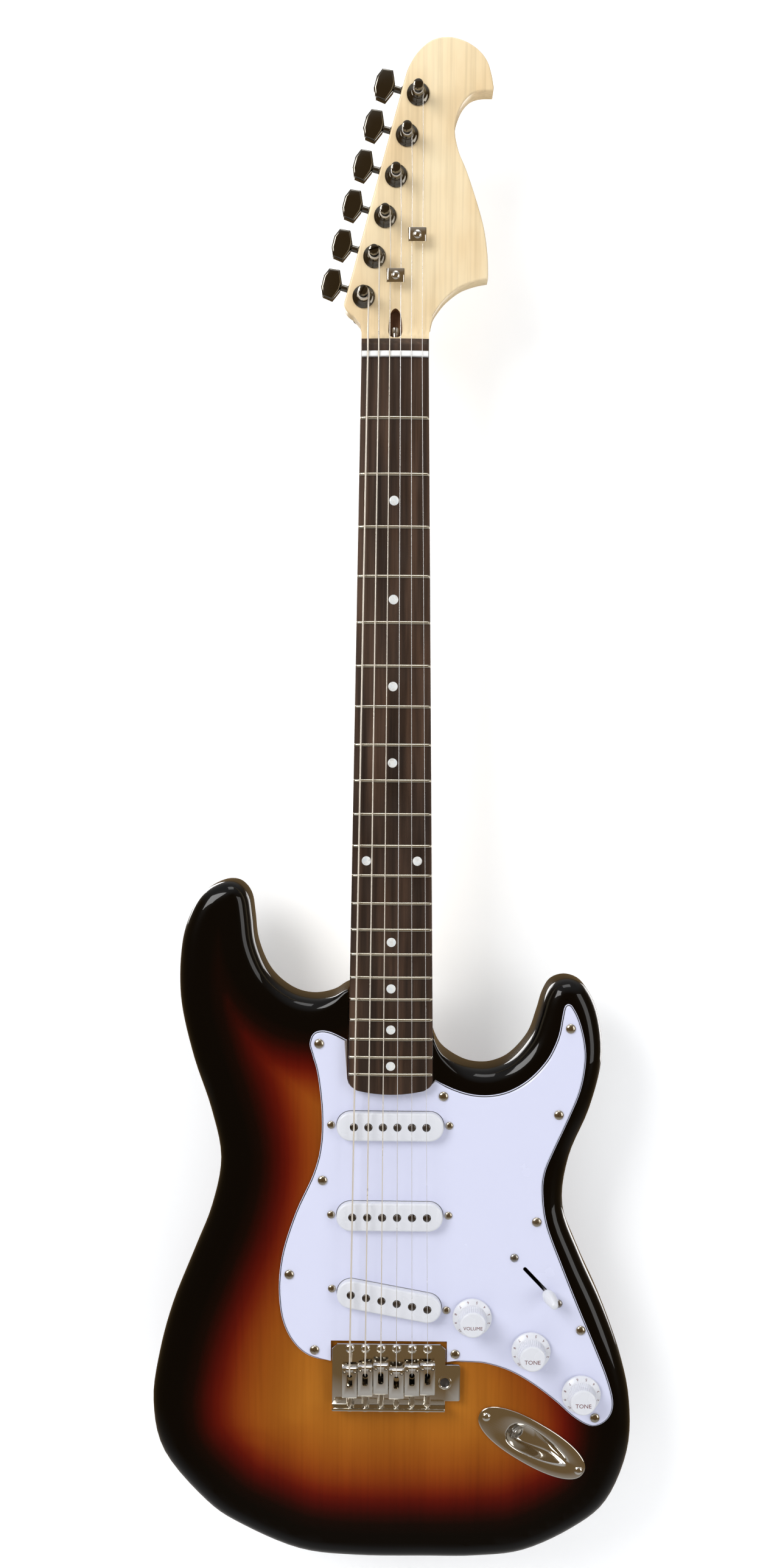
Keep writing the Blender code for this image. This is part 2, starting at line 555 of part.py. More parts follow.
head_holes = bmesh.new()
for k in range(6):
    number = k + 1
    centre = post_place(k)
    case = skin(bmesh.new(), [[tuner_point(k, out, along, HOUSING_FRONT + y) for along, y in HOUSING_SIDE]
                              for out in (-8.5, 9.3)])
    bush = [(POST_BORE, 3.2), (4.2, 3.2), (7.0, 1.0), (7.0, 0.0), (4.5, 0.0), (4.5, HEAD_FACE - HOUSING_FRONT - 0.8),
            (POST_BORE, HEAD_FACE - HOUSING_FRONT - 0.8)]
    bush = lathe(bush, (centre.x, HEAD_FACE - CONTACT_GAP, centre.z), FRONT, 8)
    lug = tuner_point(k, 0.0, -7.6, HOUSING_FRONT + 1.2)
    lug_screw = screw(lug, REAR, 7.5, 2.4, 1.1, 1.5)
    post_hole = rod(POST_BORE, (centre.x, HEAD_BACK - 2, centre.z), (centre.x, HOUSING_FRONT + 5, centre.z), 8)
    worm_hole = rod(2.4, tuner_point(k, 3.6, WORM_OFFSET, WORM_DEPTH), tuner_point(k, 12, WORM_OFFSET, WORM_DEPTH))
    piece("tuner_housing_%d" % number, case, DARK_CHROME, add=[bush, lug_screw], cut=[post_hole, worm_hole])
    rod(5.2, (centre.x, HEAD_FACE - 3, centre.z), (centre.x, HEAD_BACK + 3, centre.z), 8, head_holes)
    rod(1.5, (lug[0], HEAD_BACK - 7.5, lug[2]), (lug[0], HEAD_BACK + 3, lug[2]), 6, head_holes)

    post_profile = [(0, -16.5), (POST_RADIUS, -16.5), (POST_RADIUS, 4.0), (3.9, 4.0), (POST_RADIUS, 6.6),
                    (POST_RADIUS, POST_HEIGHT - 4.5), (3.1, POST_HEIGHT - 3.2), (3.1, POST_HEIGHT), (0, POST_HEIGHT)]
    origin = (centre.x, HEAD_FACE, centre.z)
    piece("tuner_post_%d" % number, lathe(post_profile, origin, FRONT, 8), DARK_CHROME, origin)

    outline = list(BUTTON_HALF) + [(out, -half) for out, half in BUTTON_HALF[-2::-1]]
    middle = BUTTON_HALF[-1][0] / 2
    layers = []
    for depth, shrink in BUTTON_LAYERS:
        layers.append([tuner_point(k, BUTTON_REACH + middle + (out - middle) * shrink, WORM_OFFSET + half * shrink,
                                   WORM_DEPTH + depth) for out, half in outline])
    shaft_start = tuner_point(k, 4.2, WORM_OFFSET, WORM_DEPTH)
    shaft_end = BUTTON_REACH - 1.2
    shaft = lathe([(0, 0), (2.0, 0), (2.0, 5.6), (3.0, 5.6), (3.0, 9.0), (2.0, 9.0), (2.0, shaft_end), (0, shaft_end)],
                  shaft_start, OUT, 6)
    piece("tuner_button_%d" % number, skin(bmesh.new(), layers), DARK_CHROME,
          tuner_point(k, BUTTON_REACH, WORM_OFFSET, WORM_DEPTH), add=[shaft])

# String trees: winged brackets on a spacer, each pressing two strings towards the headstock.
TREE_HEIGHT = 5.9
WING_THICKNESS = 1.0
WIND_STEPS = 8
TREES = (("low", 2, 3, 49.6), ("high", 4, 5, 73.9))


def string_x(k):
    return (k - 2.5) * STRING_PITCH_BRIDGE


def string_at_nut(k, along=0.4):
    x = (k - 2.5) * STRING_PITCH_NUT
    y = BOARD_TOP - NUT_RISE + board_drop(x) - CONTACT_GAP - STRING_RADII[k]
    return Vector((x, y, NUT_START + NUT_THICKNESS * along))


def wind_radius(k):
    return (POST_RADIUS + 0.35 + STRING_RADII[k]) / math.cos(math.pi / WIND_STEPS)


def string_at_post(k):
    p = post_place(k)
    return Vector((p.x + wind_radius(k), HEAD_FACE - WIND_HEIGHT, p.z))


for label, low, high, z in TREES:
    x = 0.0
    for k in (low, high):
        a, b = string_at_nut(k), string_at_post(k)
        x += (a.x + (b.x - a.x) * (z - a.z) / (b.z - a.z)) / 2
    under = HEAD_FACE - TREE_HEIGHT
    foot = HEAD_FACE - CONTACT_GAP
    top = under - WING_THICKNESS
    half_section = [(1.9, foot), (1.9, under), (4.6, under), (5.6, under + 0.9), (5.6, under - 0.1), (4.8, top)]
    section = [(x - px, py) for px, py in half_section] + [(x + px, py) for px, py in half_section[::-1]]
    bm = skin(bmesh.new(), [[(px, py, pz) for px, py in section] for pz in (z - 4.2, z + 4.2)])
    tree_screw = screw((x, top + 0.3, z), FRONT, TREE_HEIGHT + 7.0, 2.6, 1.1, 1.6)
    piece("string_tree_" + label, bm, CHROME, add=[tree_screw])
    rod(1.5, (x, HEAD_FACE - 3, z), (x, HEAD_FACE + 7.0, z), 6, head_holes)
boolean(neck, cutter("head_holes", head_holes))

# ---------------------------------------------------------------- neck plate and its bolts
NECK_PLATE_CENTRE = 212.0
bolts, bolt_holes = bmesh.new(), bmesh.new()
plate_front = BACK + CONTACT_GAP
for sx in (-19.0, 19.0):
    for sz in (-25.5, 25.5):
        z = zb(NECK_PLATE_CENTRE + sz)
        screw((sx, plate_front + 1.7, z), REAR, BACK - 5.0, 4.2, 2.1, 2.1, bolts)
        rod(2.5, (sx, 1.0, z), (sx, BACK + 3, z), 6, bolt_holes)
bolt_tool = cutter("bolt_holes", bolt_holes)
boolean(body, bolt_tool)
boolean(neck, bolt_tool)
plate_outline = stadium((0, NECK_PLATE_CENTRE), 90, 64.0, 51.0, 4, 4.0)
piece("neck_plate", prism(plate_outline, plate_front, plate_front + 2.0), CHROME, add=[bolts])

# ---------------------------------------------------------------- pickguard with its screws
guard_treble = [(29.6, 187.6), (35.2, 184.7), (44, 180.9), (53, 178.3), (62, 177.4), (71.2, 178.3),
                       (80.2, 181.2), (89.2, 186.5), (97, 193.5), (103.8, 202), (108.2, 210.5), (111.3, 219.5),
                       (113.3, 231.5), (114.7, 237.6), (117.4, 239.2), (120.3, 236.8), (124.6, 228), (128.3, 214),
                       (129.2, 200), (126.1, 181.1), (118.5, 161.3), (109.4, 140.4), (103.6, 125), (102.6, 110),
                       (105.8, 89), (116.2, 61.2), (127.6, 33), (140, 3.7), (148.9, -19), (152.7, -36),
                       (148.8, -47), (139, -51.7), (127, -46), (112.9, -33.6), (97.5, -21.9), (82.2, -13.1),
                       (66, -8), (53, -7), (39.8, -6.7)]
guard_bass = [(-39.4, -6.5), (-47.1, -5.8), (-55.5, -2.7), (-63, 3.7), (-69.4, 14), (-73.4, 28),
                     (-74.4, 48), (-71.5, 70), (-62.8, 97), (-51.2, 123), (-46.3, 143), (-45.7, 166),
                     (-48.4, 190.5), (-51.8, 203.5), (-53.7, 211.5), (-51.3, 218.2), (-45.5, 220.3),
                     (-38, 218.7), (-29.0, 214.1)]
NOTCH_GAP = 1.0
notch_half = PLATE_HALF + NOTCH_GAP
notch_top = PIVOT_LEAD + PLATE_LIP + NOTCH_GAP + 0.4
bridge_notch = [(notch_half, -6.7), (notch_half, notch_top), (-notch_half, notch_top), (-notch_half, -6.5)]
neck_notch = heel_outline(0.7, 0)[2:-1][::-1]
guard_outline = [(x, zb(h)) for x, h in guard_treble[:-1] + bridge_notch + guard_bass[1:]] + neck_notch
guard_layers = ((GUARD_BACK, 0.0), (GUARD_TOP + 1.1, 0.0), (GUARD_TOP, 0.9))
guard_rings = [[(x, y, z) for x, z in inset(guard_outline, amount)] for y, amount in guard_layers]
guard_screws, guard_holes, wood_holes = bmesh.new(), bmesh.new(), bmesh.new()
for x, h in GUARD_SCREWS:
    screw((x, GUARD_TOP + 0.3, zb(h)), FRONT, 9.0, 3.3, 1.4, 1.6, guard_screws)
    rod(1.75, (x, -4, zb(h)), (x, 8.0, zb(h)), 6, wood_holes)
for label, height, angle in PICKUPS:
    prism(stadium((0, height), angle, PICKUP_LENGTH + 0.8, PICKUP_WIDTH + 0.8, 6), GUARD_TOP - 4, 3, guard_holes)
    for side in (-1, 1):
        x, z = rotated((0, height), angle, side * PICKUP_SCREW_SPACING / 2, 0)
        rod(1.8, (x, GUARD_TOP - 4, z), (x, 3, z), 6, guard_holes)
for label, x, h in POTS:
    rod(4.2, (x, GUARD_TOP - 4, zb(h)), (x, 3, zb(h)), 10, guard_holes)
for side in (-1, 1):
    x, z = rotated(SWITCH_CENTRE, SWITCH_ANGLE, side * SWITCH_SCREWS / 2, 0)
    rod(1.8, (x, GUARD_TOP - 4, z), (x, 3, z), 6, guard_holes)
prism(stadium(SWITCH_CENTRE, SWITCH_ANGLE, 25.0, 4.2, 2, 0.6), GUARD_TOP - 4, 3, guard_holes)
piece("pickguard", skin(bmesh.new(), guard_rings), WHITE_PLY, add=[guard_screws], cut=[guard_holes])

# ---------------------------------------------------------------- pickups: a cover over a coil with its magnets
COVER_TOP = GUARD_TOP - PICKUP_RISE
COVER_WALL = 1.3
LID = COVER_TOP + COVER_WALL
FLANGE_TOP = 4.6
FLANGE_THICKNESS = 2.2
guard_seat = GUARD_TOP - CONTACT_GAP
for label, height, angle in PICKUPS:
    centre = (0, height)
    outer = stadium(centre, angle, PICKUP_LENGTH, PICKUP_WIDTH, 6)
    shoulder = stadium(centre, angle, PICKUP_LENGTH - 1.8, PICKUP_WIDTH - 1.8, 6)
    inner = stadium(centre, angle, PICKUP_LENGTH - 2 * COVER_WALL, PICKUP_WIDTH - 2 * COVER_WALL, 6)
    layers = [(inner, LID), (inner, FLANGE_TOP - CONTACT_GAP), (outer, FLANGE_TOP - CONTACT_GAP),
              (outer, COVER_TOP + 0.9), (shoulder, COVER_TOP)]
    shell = skin(bmesh.new(), [[(x, y, z) for x, z in ring] for ring, y in layers])
    ears = stadium(centre, angle, PICKUP_SCREW_SPACING + 5.6, PICKUP_WIDTH - 2.0, 4, 5.0)
    coil = stadium(centre, angle, PICKUP_LENGTH - 4.6, PICKUP_WIDTH - 4.7, 4)
    holes, magnets, adjusters = bmesh.new(), bmesh.new(), bmesh.new()
    share = 1 - height / SCALE_LENGTH
    pitch = (STRING_PITCH_NUT + (STRING_PITCH_BRIDGE - STRING_PITCH_NUT) * share) / math.cos(math.radians(angle))
    for k in range(6):
        x, z = rotated(centre, angle, (k - 2.5) * pitch, 0)
        rod(POLE_RADIUS, (x, FLANGE_TOP + 5.2, z), (x, COVER_TOP - 0.5, z), 6, magnets)
        rod(POLE_RADIUS + CONTACT_GAP, (x, COVER_TOP - 3, z), (x, LID + 0.5, z), 6, holes)
    for side in (-1, 1):
        x, z = rotated(centre, angle, side * PICKUP_SCREW_SPACING / 2, 0)
        screw((x, guard_seat, z), FRONT, 11.5, 2.7, 1.4, 1.5, adjusters)
    piece("pickup_cover_" + label, shell, WHITE_PLASTIC, cut=[holes])
    piece("pickup_coil_" + label, prism(ears, FLANGE_TOP, FLANGE_TOP + FLANGE_THICKNESS), BLACK_PLASTIC,
          add=[prism(coil, LID + 0.8, FLANGE_TOP + 1.2), adjusters, magnets])

# ---------------------------------------------------------------- pots and knobs
POT_TOP = 0.6
POT_DEPTH = 10.4
BUSH_TOP = 3.3
for label, x, h in POTS:
    spot = (x, 0, zb(h))
    bore = SHAFT_RADIUS + CONTACT_GAP
    case = [(bore, BUSH_TOP - GUARD_TOP), (3.8, BUSH_TOP - GUARD_TOP), (3.8, -POT_TOP), (POT_RADIUS, -POT_TOP),
            (POT_RADIUS, -POT_TOP - POT_DEPTH), (bore, -POT_TOP - POT_DEPTH)]
    nut_ring = [(bore + 0.25, 0), (6.6, 0), (6.6, 2.0), (bore + 0.25, 2.0)]
    piece(label + "_pot", lathe(case, spot, FRONT, 10), STEEL,
          add=[lathe(nut_ring, (x, guard_seat, zb(h)), FRONT, 6)])
    skirt = GUARD_TOP - 0.7
    profile = [(0, 5.2), (8.2, 5.2), (8.2, 0.0), (KNOB_RADIUS, 0.0), (KNOB_RADIUS, 2.2), (9.9, 4.2),
               (8.7, KNOB_HEIGHT), (0, KNOB_HEIGHT)]
    shaft = rod(SHAFT_RADIUS, (x, POT_DEPTH - 0.4, zb(h)), (x, skirt - 9.0, zb(h)), 8)
    piece(label + "_knob", lathe(profile, (x, skirt, zb(h)), FRONT, 14), WHITE_PLASTIC,
          (x, GUARD_TOP, zb(h)), add=[shaft])

# ---------------------------------------------------------------- selector switch
frame_outline = stadium(SWITCH_CENTRE, SWITCH_ANGLE, SWITCH_SCREWS + 6.4, 11.0, 4, 2.0)
mech = [rotated(SWITCH_CENTRE, SWITCH_ANGLE, a, b) for a, b in ((-16, 2.0), (16, 2.0), (16, 7.6), (-16, 7.6))]
switch_screws = bmesh.new()
for side in (-1, 1):
    x, z = rotated(SWITCH_CENTRE, SWITCH_ANGLE, side * SWITCH_SCREWS / 2, 0)
    screw((x, guard_seat, z), FRONT, 7.5, 2.9, 1.4, 1.5, switch_screws)
frame_slot = prism(stadium(SWITCH_CENTRE, SWITCH_ANGLE, 24.0, 3.4, 2, 0.6), -0.2, 1.8)
piece("switch_frame", prism(frame_outline, 0.1, 1.5), STEEL, add=[prism(mech, 1.2, 26.0), switch_screws],
      cut=[frame_slot])

slot_dir = Vector((math.cos(math.radians(SWITCH_ANGLE)), 0, math.sin(math.radians(SWITCH_ANGLE))))
throw = math.radians(SWITCH_THROW)
lever_dir = Vector((0, -1, 0)) * math.cos(throw) + slot_dir * math.sin(throw)
lever_side = Vector((0, 1, 0)) * math.sin(throw) + slot_dir * math.cos(throw)
lever_flat = lever_dir.cross(lever_side).normalized()
pivot = Vector((SWITCH_CENTRE[0], SWITCH_PIVOT_DEPTH, zb(SWITCH_CENTRE[1])))


def lever_solid(layers, corners):
    """Loft along the lever: each layer is its height over the pivot and its two half sizes."""
    rings = []
    for height, half_wide, half_thick in layers:
        rings.append([pivot + lever_dir * height + lever_side * (half_wide * a) + lever_flat * (half_thick * b)
                      for a, b in corners])
    return skin(bmesh.new(), rings)


square = ((-1, -1), (1, -1), (1, 1), (-1, 1))
oval = [(math.cos(math.pi * k / 4), math.sin(math.pi * k / 4)) for k in range(8)]
piece("switch_lever", lever_solid([(-3.0, 2.0, 0.6), (32.0, 2.0, 0.6)], square), STEEL, tuple(pivot))
TIP_LAYERS = [(27.6, 3.4, 2.8), (29.0, 4.6, 3.8), (33.0, 5.2, 4.3), (38.0, 3.9, 3.4), (42.0, 2.6, 2.5), (43.3, 1.3, 1.3)]
piece("switch_tip", lever_solid(TIP_LAYERS, oval), WHITE_PLASTIC, tuple(pivot),
      cut=[lever_solid([(25.0, 2.3, 0.9), (32.4, 2.3, 0.9)], square)])

# ---------------------------------------------------------------- jack plate and socket
JACK_PLY = 1.2
JACK_POINTS = 16
CUP_DEPTH = 10.5


def jack_ring(shift, along_half, left_half, right_half, y, power=1.0):
    """Rounded ring in the jack plate's directions, tapering from one width at its left to another at its right."""
    ring = []
    for k in range(JACK_POINTS):
        t = 2 * math.pi * k / JACK_POINTS
        c, s = math.cos(t), math.sin(t)
        along = shift + along_half * math.copysign(abs(c) ** power, c)
        half = left_half + (right_half - left_half) * (c + 1) / 2
        x, z = rotated(JACK_CENTRE, JACK_ANGLE, along, half * math.copysign(abs(s) ** power, s))
        ring.append((x, y, z))
    return ring


jack_back = -CONTACT_GAP
jack_front = jack_back - JACK_PLY
jack_layers = [jack_ring(-0.5, 41.5, 15.0, 15.0, jack_back, 0.88),
               jack_ring(-0.5, 41.5, 15.0, 15.0, jack_front + 0.5, 0.88),
               jack_ring(-0.5, 40.6, 14.2, 14.2, jack_front, 0.88),
               jack_ring(4.5, 24.5, 12.4, 5.0, jack_front, 0.85),
               jack_ring(4.0, 23.6, 11.7, 4.4, jack_front + 0.7, 0.85),
               jack_ring(-2.5, 5.2, 7.0, 4.0, CUP_DEPTH, 0.85),
               jack_ring(-2.5, 6.6, 8.2, 5.2, CUP_DEPTH + 1.0, 0.85),
               jack_ring(4.2, 24.8, 12.9, 5.6, jack_back, 0.85)]
bm = bmesh.new()
loops = [[bm.verts.new(p) for p in ring] for ring in jack_layers]
for low, high in ((0, 1), (1, 2), (2, 3), (3, 4), (4, 5), (6, 7), (7, 0)):
    for i in range(JACK_POINTS):
        j = (i + 1) % JACK_POINTS
        bm.faces.new((loops[low][i], loops[low][j], loops[high][j], loops[high][i]))
bm.faces.new(loops[5])
bm.faces.new(loops[6][::-1])


def on_jack(along, y):
    """Point over the jack plate's long centre line."""
    x, z = rotated(JACK_CENTRE, JACK_ANGLE, along, 0)
    return Vector((x, y, z))


# The socket sits square on the cup's steep wall, pointing down into the body.
wall_top = on_jack(4.0 - 23.6, jack_front + 0.7)
wall_low = on_jack(-2.5 - 5.2, CUP_DEPTH)
wall_dir = (wall_low - wall_top).normalized()
plate_across = (Vector((*rotated((0, 0), JACK_ANGLE, 0, 1), 0)) - Vector((*rotated((0, 0), JACK_ANGLE, 0, 0), 0))).xzy
jack_axis = wall_dir.cross(plate_across).normalized()
if jack_axis.y > 0:
    jack_axis = -jack_axis
wall_mid = wall_top.lerp(wall_low, 0.52)
JACK_BORE = 3.25
jack_screws = bmesh.new()
for along in (-37.0, 36.9):
    spot = on_jack(along, jack_front + 0.3)
    screw(spot, FRONT, 9.0, 2.9, 1.4, 1.6, jack_screws)
    rod(1.75, (spot.x, -4, spot.z), (spot.x, 9.0, spot.z), 6, wood_holes)
piece("jack_plate", bm, CHROME, add=[jack_screws],
      cut=[rod(4.9, wall_mid + jack_axis * 6, wall_mid - jack_axis * 6, 10)])
barrel = [(JACK_BORE, 3.5), (4.3, 3.5), (4.3, -4.6), (6.4, -4.6), (6.4, -19.0), (JACK_BORE, -19.0)]
piece("output_jack", lathe(barrel, wall_mid, jack_axis, 10), STEEL,
      add=[lathe([(4.0, 1.7), (5.2, 1.7), (5.2, 2.9), (4.0, 2.9)], wall_mid, jack_axis, 6)])

# ---------------------------------------------------------------- bridge plate, block and pivot screws
TAIL = 38.0
TAIL_RISE = 7.2
TAIL_WALL = 1.9
SCREW_LINE = PLATE_TOP - 3.6
section = [(PIVOT_LEAD + PLATE_LIP, PLATE_TOP), (PIVOT_LEAD + PLATE_LIP, PLATE_BACK), (-TAIL, PLATE_BACK),
           (-TAIL, PLATE_TOP - TAIL_RISE), (TAIL_WALL - TAIL, PLATE_TOP - TAIL_RISE), (TAIL_WALL - TAIL, PLATE_TOP)]
plate = skin(bmesh.new(), [[(x, y, zb(h)) for h, y in section] for x in (-PLATE_HALF, PLATE_HALF)])
tab = box(PLATE_HALF - 2, PLATE_HALF + 10.2, PLATE_TOP, PLATE_BACK, zb(-33.3), zb(-8.0))
plate_holes, block_holes = bmesh.new(), bmesh.new()
block_screws, pivot_screws, sinks = bmesh.new(), bmesh.new(), bmesh.new()
front_edge = PIVOT_LEAD + PLATE_LIP
for side in (-1, 1):
    x = side * PLATE_HALF
    corner = [(x - side * 3.4, zb(front_edge + 1)), (x + side, zb(front_edge + 1)), (x + side, zb(front_edge - 3.4))]
    prism(corner, PLATE_TOP - 2, PLATE_BACK + 2, plate_holes)
for k in range(6):
    x = string_x(k)
    screw((x, PLATE_TOP - 1.0, PIVOT[2]), FRONT, 12.0, 3.1, 1.6, 1.6, pivot_screws)
    rod(2.1, (x, PLATE_TOP - 3, PIVOT[2]), (x, PLATE_BACK + 2, PIVOT[2]), 6, plate_holes)
    rod(1.8, (x, PLATE_TOP - 3, zb(-STRING_HOLE)), (x, PLATE_BACK + 2, zb(-STRING_HOLE)), 6, plate_holes)
    rod(1.8, (x, PLATE_BACK - 2, zb(-STRING_HOLE)), (x, BACK, zb(-STRING_HOLE)), 6, block_holes)
    rod(1.35, (x, SCREW_LINE, zb(-TAIL) - 2), (x, SCREW_LINE, zb(-TAIL + 4)), 6, plate_holes)
for x in (-2 * STRING_PITCH_BRIDGE, 0.0, 2 * STRING_PITCH_BRIDGE):
    rod(1.5, (x, PLATE_BACK - 0.5, zb(-STRING_HOLE)), (x, PLATE_BACK + 12, zb(-STRING_HOLE)), 6, block_screws)
    rod(1.8, (x, PLATE_BACK - 2, zb(-STRING_HOLE)), (x, PLATE_BACK + 13, zb(-STRING_HOLE)), 6, block_holes)
ARM_RADIUS = 3.2
arm_x, arm_z = ARM_HOLE[0], zb(ARM_HOLE[1])
arm_start = (arm_x, PLATE_TOP - 3, arm_z)
rod(ARM_RADIUS, arm_start, (arm_x, PLATE_BACK + 1.0, arm_z), 12, plate_holes)
rod(ARM_RADIUS, arm_start, (arm_x, 22, arm_z), 12, block_holes)
piece("bridge_plate", plate, CHROME, PIVOT, add=[tab, block_screws], cut=[plate_holes])
BLOCK_TOP = PLATE_BACK + CONTACT_GAP
BLOCK_BOTTOM = BLOCK_TOP + BLOCK_HEIGHT
block_front = STRING_HOLE - BLOCK_THICKNESS / 2
block_back = block_front + BLOCK_THICKNESS
arm_boss = box(arm_x - 5.6, arm_x + 5.0, BLOCK_TOP, 24.0, arm_z - 5.6, arm_z + 5.6)
piece("tremolo_block", box(-34.5, 34.5, BLOCK_TOP, BLOCK_BOTTOM, zb(-block_back), zb(-block_front)), IRON, PIVOT,
      add=[arm_boss], cut=[block_holes])
boolean(body, cutter("pivot_screws", pivot_screws), "UNION")

# ---------------------------------------------------------------- saddles, each with its three screws and its spring
SADDLE_WALL = 1.8
SADDLE_HALF = STRING_PITCH_BRIDGE / 2 - 0.22


def crest(k):
    """Depth of a saddle's crest; the six follow the fingerboard's curve."""
    return PLATE_TOP - SADDLE_HEIGHT + board_drop(string_x(k))


for k in range(6):
    x, front, top = string_x(k), -SADDLE_SETBACK[k], crest(k)
    rear = front - SADDLE_LENGTH
    foot = PLATE_TOP - 0.7
    w = SADDLE_WALL
    profile = [(front + 1.4, top + 4.6), (front + 1.2, top + 1.4), (front, top), (front - 2.4, top + 0.3),
               (rear, SCREW_LINE - 2.4), (rear, foot), (rear + w, foot), (rear + w, SCREW_LINE - 2.4 + w),
               (front - 2.6, top + 0.3 + w), (front - 0.4, top + w + 0.3), (front - 0.4, top + 4.6)]
    bent = skin(bmesh.new(), [[(px, y, zb(h)) for h, y in profile] for px in (x - SADDLE_HALF, x + SADDLE_HALF)])
    window = box(x - 1.85, x + 1.85, top - 2, foot - 1.2, zb(front - 13.4), zb(front - 4.2))
    feet = bmesh.new()
    for side in (-1, 1):
        spot = x + side * 3.45
        rod(1.1, (spot, PLATE_TOP - CONTACT_GAP, zb(front - 2.0)), (spot, top - 0.6, zb(front - 2.0)), 6, feet)
    behind = zb(-TAIL) - CONTACT_GAP
    long_screw = screw((x, SCREW_LINE, behind), (0, 0, -1), TAIL + rear + 4.0, 2.3, 1.05, 1.5)
    spring = rod(1.9, (x, SCREW_LINE, zb(TAIL_WALL - TAIL) + CONTACT_GAP), (x, SCREW_LINE, zb(rear) + 0.4))
    piece("saddle_%d" % (k + 1), bent, CHROME, PIVOT, add=[feet, long_screw, spring], cut=[window])

# ---------------------------------------------------------------- springs, claw and back plate
SPRING_Y = CAVITY_FLOOR + 5.2
CLAW_HEIGHT = CAVITY_TOP - 14.0
CLAW_WALL = 2.0
springs, claw_screws, claw_holes = bmesh.new(), bmesh.new(), bmesh.new()
for x in (-21.0, 0.0, 21.0):
    start = (x, SPRING_Y, zb(-block_front) + CONTACT_GAP)
    rod(3.8, start, (x, SPRING_Y, zb(CLAW_HEIGHT) + 0.5), 6, springs)
for x in (-11.0, 11.0):
    screw((x, SPRING_Y, zb(CLAW_HEIGHT) - CONTACT_GAP), (0, 0, -1), 32.0, 3.4, 1.7, 1.8, claw_screws)
    rod(2.1, (x, SPRING_Y, zb(CLAW_HEIGHT) - 2), (x, SPRING_Y, zb(CLAW_HEIGHT) + 10), 6, claw_holes)
boolean(body, cutter("claw_screws", claw_screws), "UNION")
claw = box(-28, 28, CAVITY_FLOOR + 0.8, CAVITY_FLOOR + 10, zb(CLAW_HEIGHT), zb(CLAW_HEIGHT + CLAW_WALL))
piece("tremolo_springs", claw, STEEL, (0, SPRING_Y, zb(CLAW_HEIGHT)), add=[springs], cut=[claw_holes])

BACK_LAP = 8.0
cover_front = BACK + CONTACT_GAP
cover_back = cover_front + BACK_PLATE_THICKNESS
back_outline = stadium((0, cavity_mid), 90, cavity_long + 2 * BACK_LAP, 2 * (CAVITY_HALF + BACK_LAP), 4, 8.0)
back_screws = bmesh.new()
for side in (-1, 1):
    for share in (-1, 0, 1):
        x = side * (CAVITY_HALF + BACK_LAP / 2)
        z = zb(cavity_mid + share * (cavity_long / 2 + BACK_LAP / 4))
        screw((x, cover_back - 0.3, z), REAR, 9.0, 2.9, 1.4, 1.6, back_screws)
        rod(1.75, (x, BACK - 8, z), (x, BACK + 4, z), 6, wood_holes)
string_window = prism(stadium((0, -STRING_HOLE - 2), 0, 66, 12, 4, 4.0), BACK - 2, BACK + 6)
piece("back_plate", prism(back_outline, cover_front, cover_back), WHITE_PLY, add=[back_screws], cut=[string_window])
boolean(body, cutter("wood_holes", wood_holes))


# ---------------------------------------------------------------- strings
def tube(path, radius, sides=4):
    """Thin tube along a path, with rings square to it."""
    rings = []
    up = Vector((1, 0, 0))
    for i, p in enumerate(path):
        ahead = (path[min(i + 1, len(path) - 1)] - path[max(i - 1, 0)]).normalized()
        side = up - ahead * up.dot(ahead)
        side.normalize()
        other = ahead.cross(side)
        ring = []
        for j in range(sides):
            a = 2 * math.pi * j / sides
            ring.append(p + (side * math.cos(a) + other * math.sin(a)) * radius)
        rings.append(ring)
        up = side
    return skin(bmesh.new(), rings)


TREE_OVER = {k: z for _, low, high, z in TREES for k in (low, high)}
for k in range(6):
    r = STRING_RADII[k]
    x = string_x(k)
    lift = CONTACT_GAP + r
    z_crest = zb(-SADDLE_SETBACK[k])
    nut_back = string_at_nut(k, 0.8)
    wind = string_at_post(k)
    path = [Vector((x, BLOCK_BOTTOM - 6, zb(-STRING_HOLE))), Vector((x, PLATE_TOP - 0.8, zb(-STRING_HOLE))),
            Vector((x, crest(k) - lift * 0.3, z_crest - 4.6)), Vector((x, crest(k) - lift * 1.15, z_crest - 0.2)),
            string_at_nut(k), nut_back]
    if k in TREE_OVER:
        z = TREE_OVER[k]
        t = (z - nut_back.z) / (wind.z - nut_back.z)
        path.append(Vector((nut_back.x + (wind.x - nut_back.x) * t, HEAD_FACE - TREE_HEIGHT + 1.0 + r, z)))
    centre = post_place(k)
    for step in range(WIND_STEPS):
        a = 2 * math.pi * step / WIND_STEPS
        drop = step / WIND_STEPS * (2 * r + 0.4)
        path.append(Vector((centre.x + wind_radius(k) * math.cos(a), wind.y + drop,
                            centre.z + wind_radius(k) * math.sin(a))))
    piece("string_%d" % (k + 1), tube(path, r), STRING_METAL)
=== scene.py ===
"""Electric guitar with a bolted neck, three pickups and a sprung tremolo bridge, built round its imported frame.

Lengths in the code are millimetres and heights marked "zb" start at the bridge line; meshes end in metres.
The front faces -Y, +Z runs up the neck, +X is the treble side and the origin is at the nut.
"""
import math

import bmesh
import bpy
from mathutils import Matrix, Vector


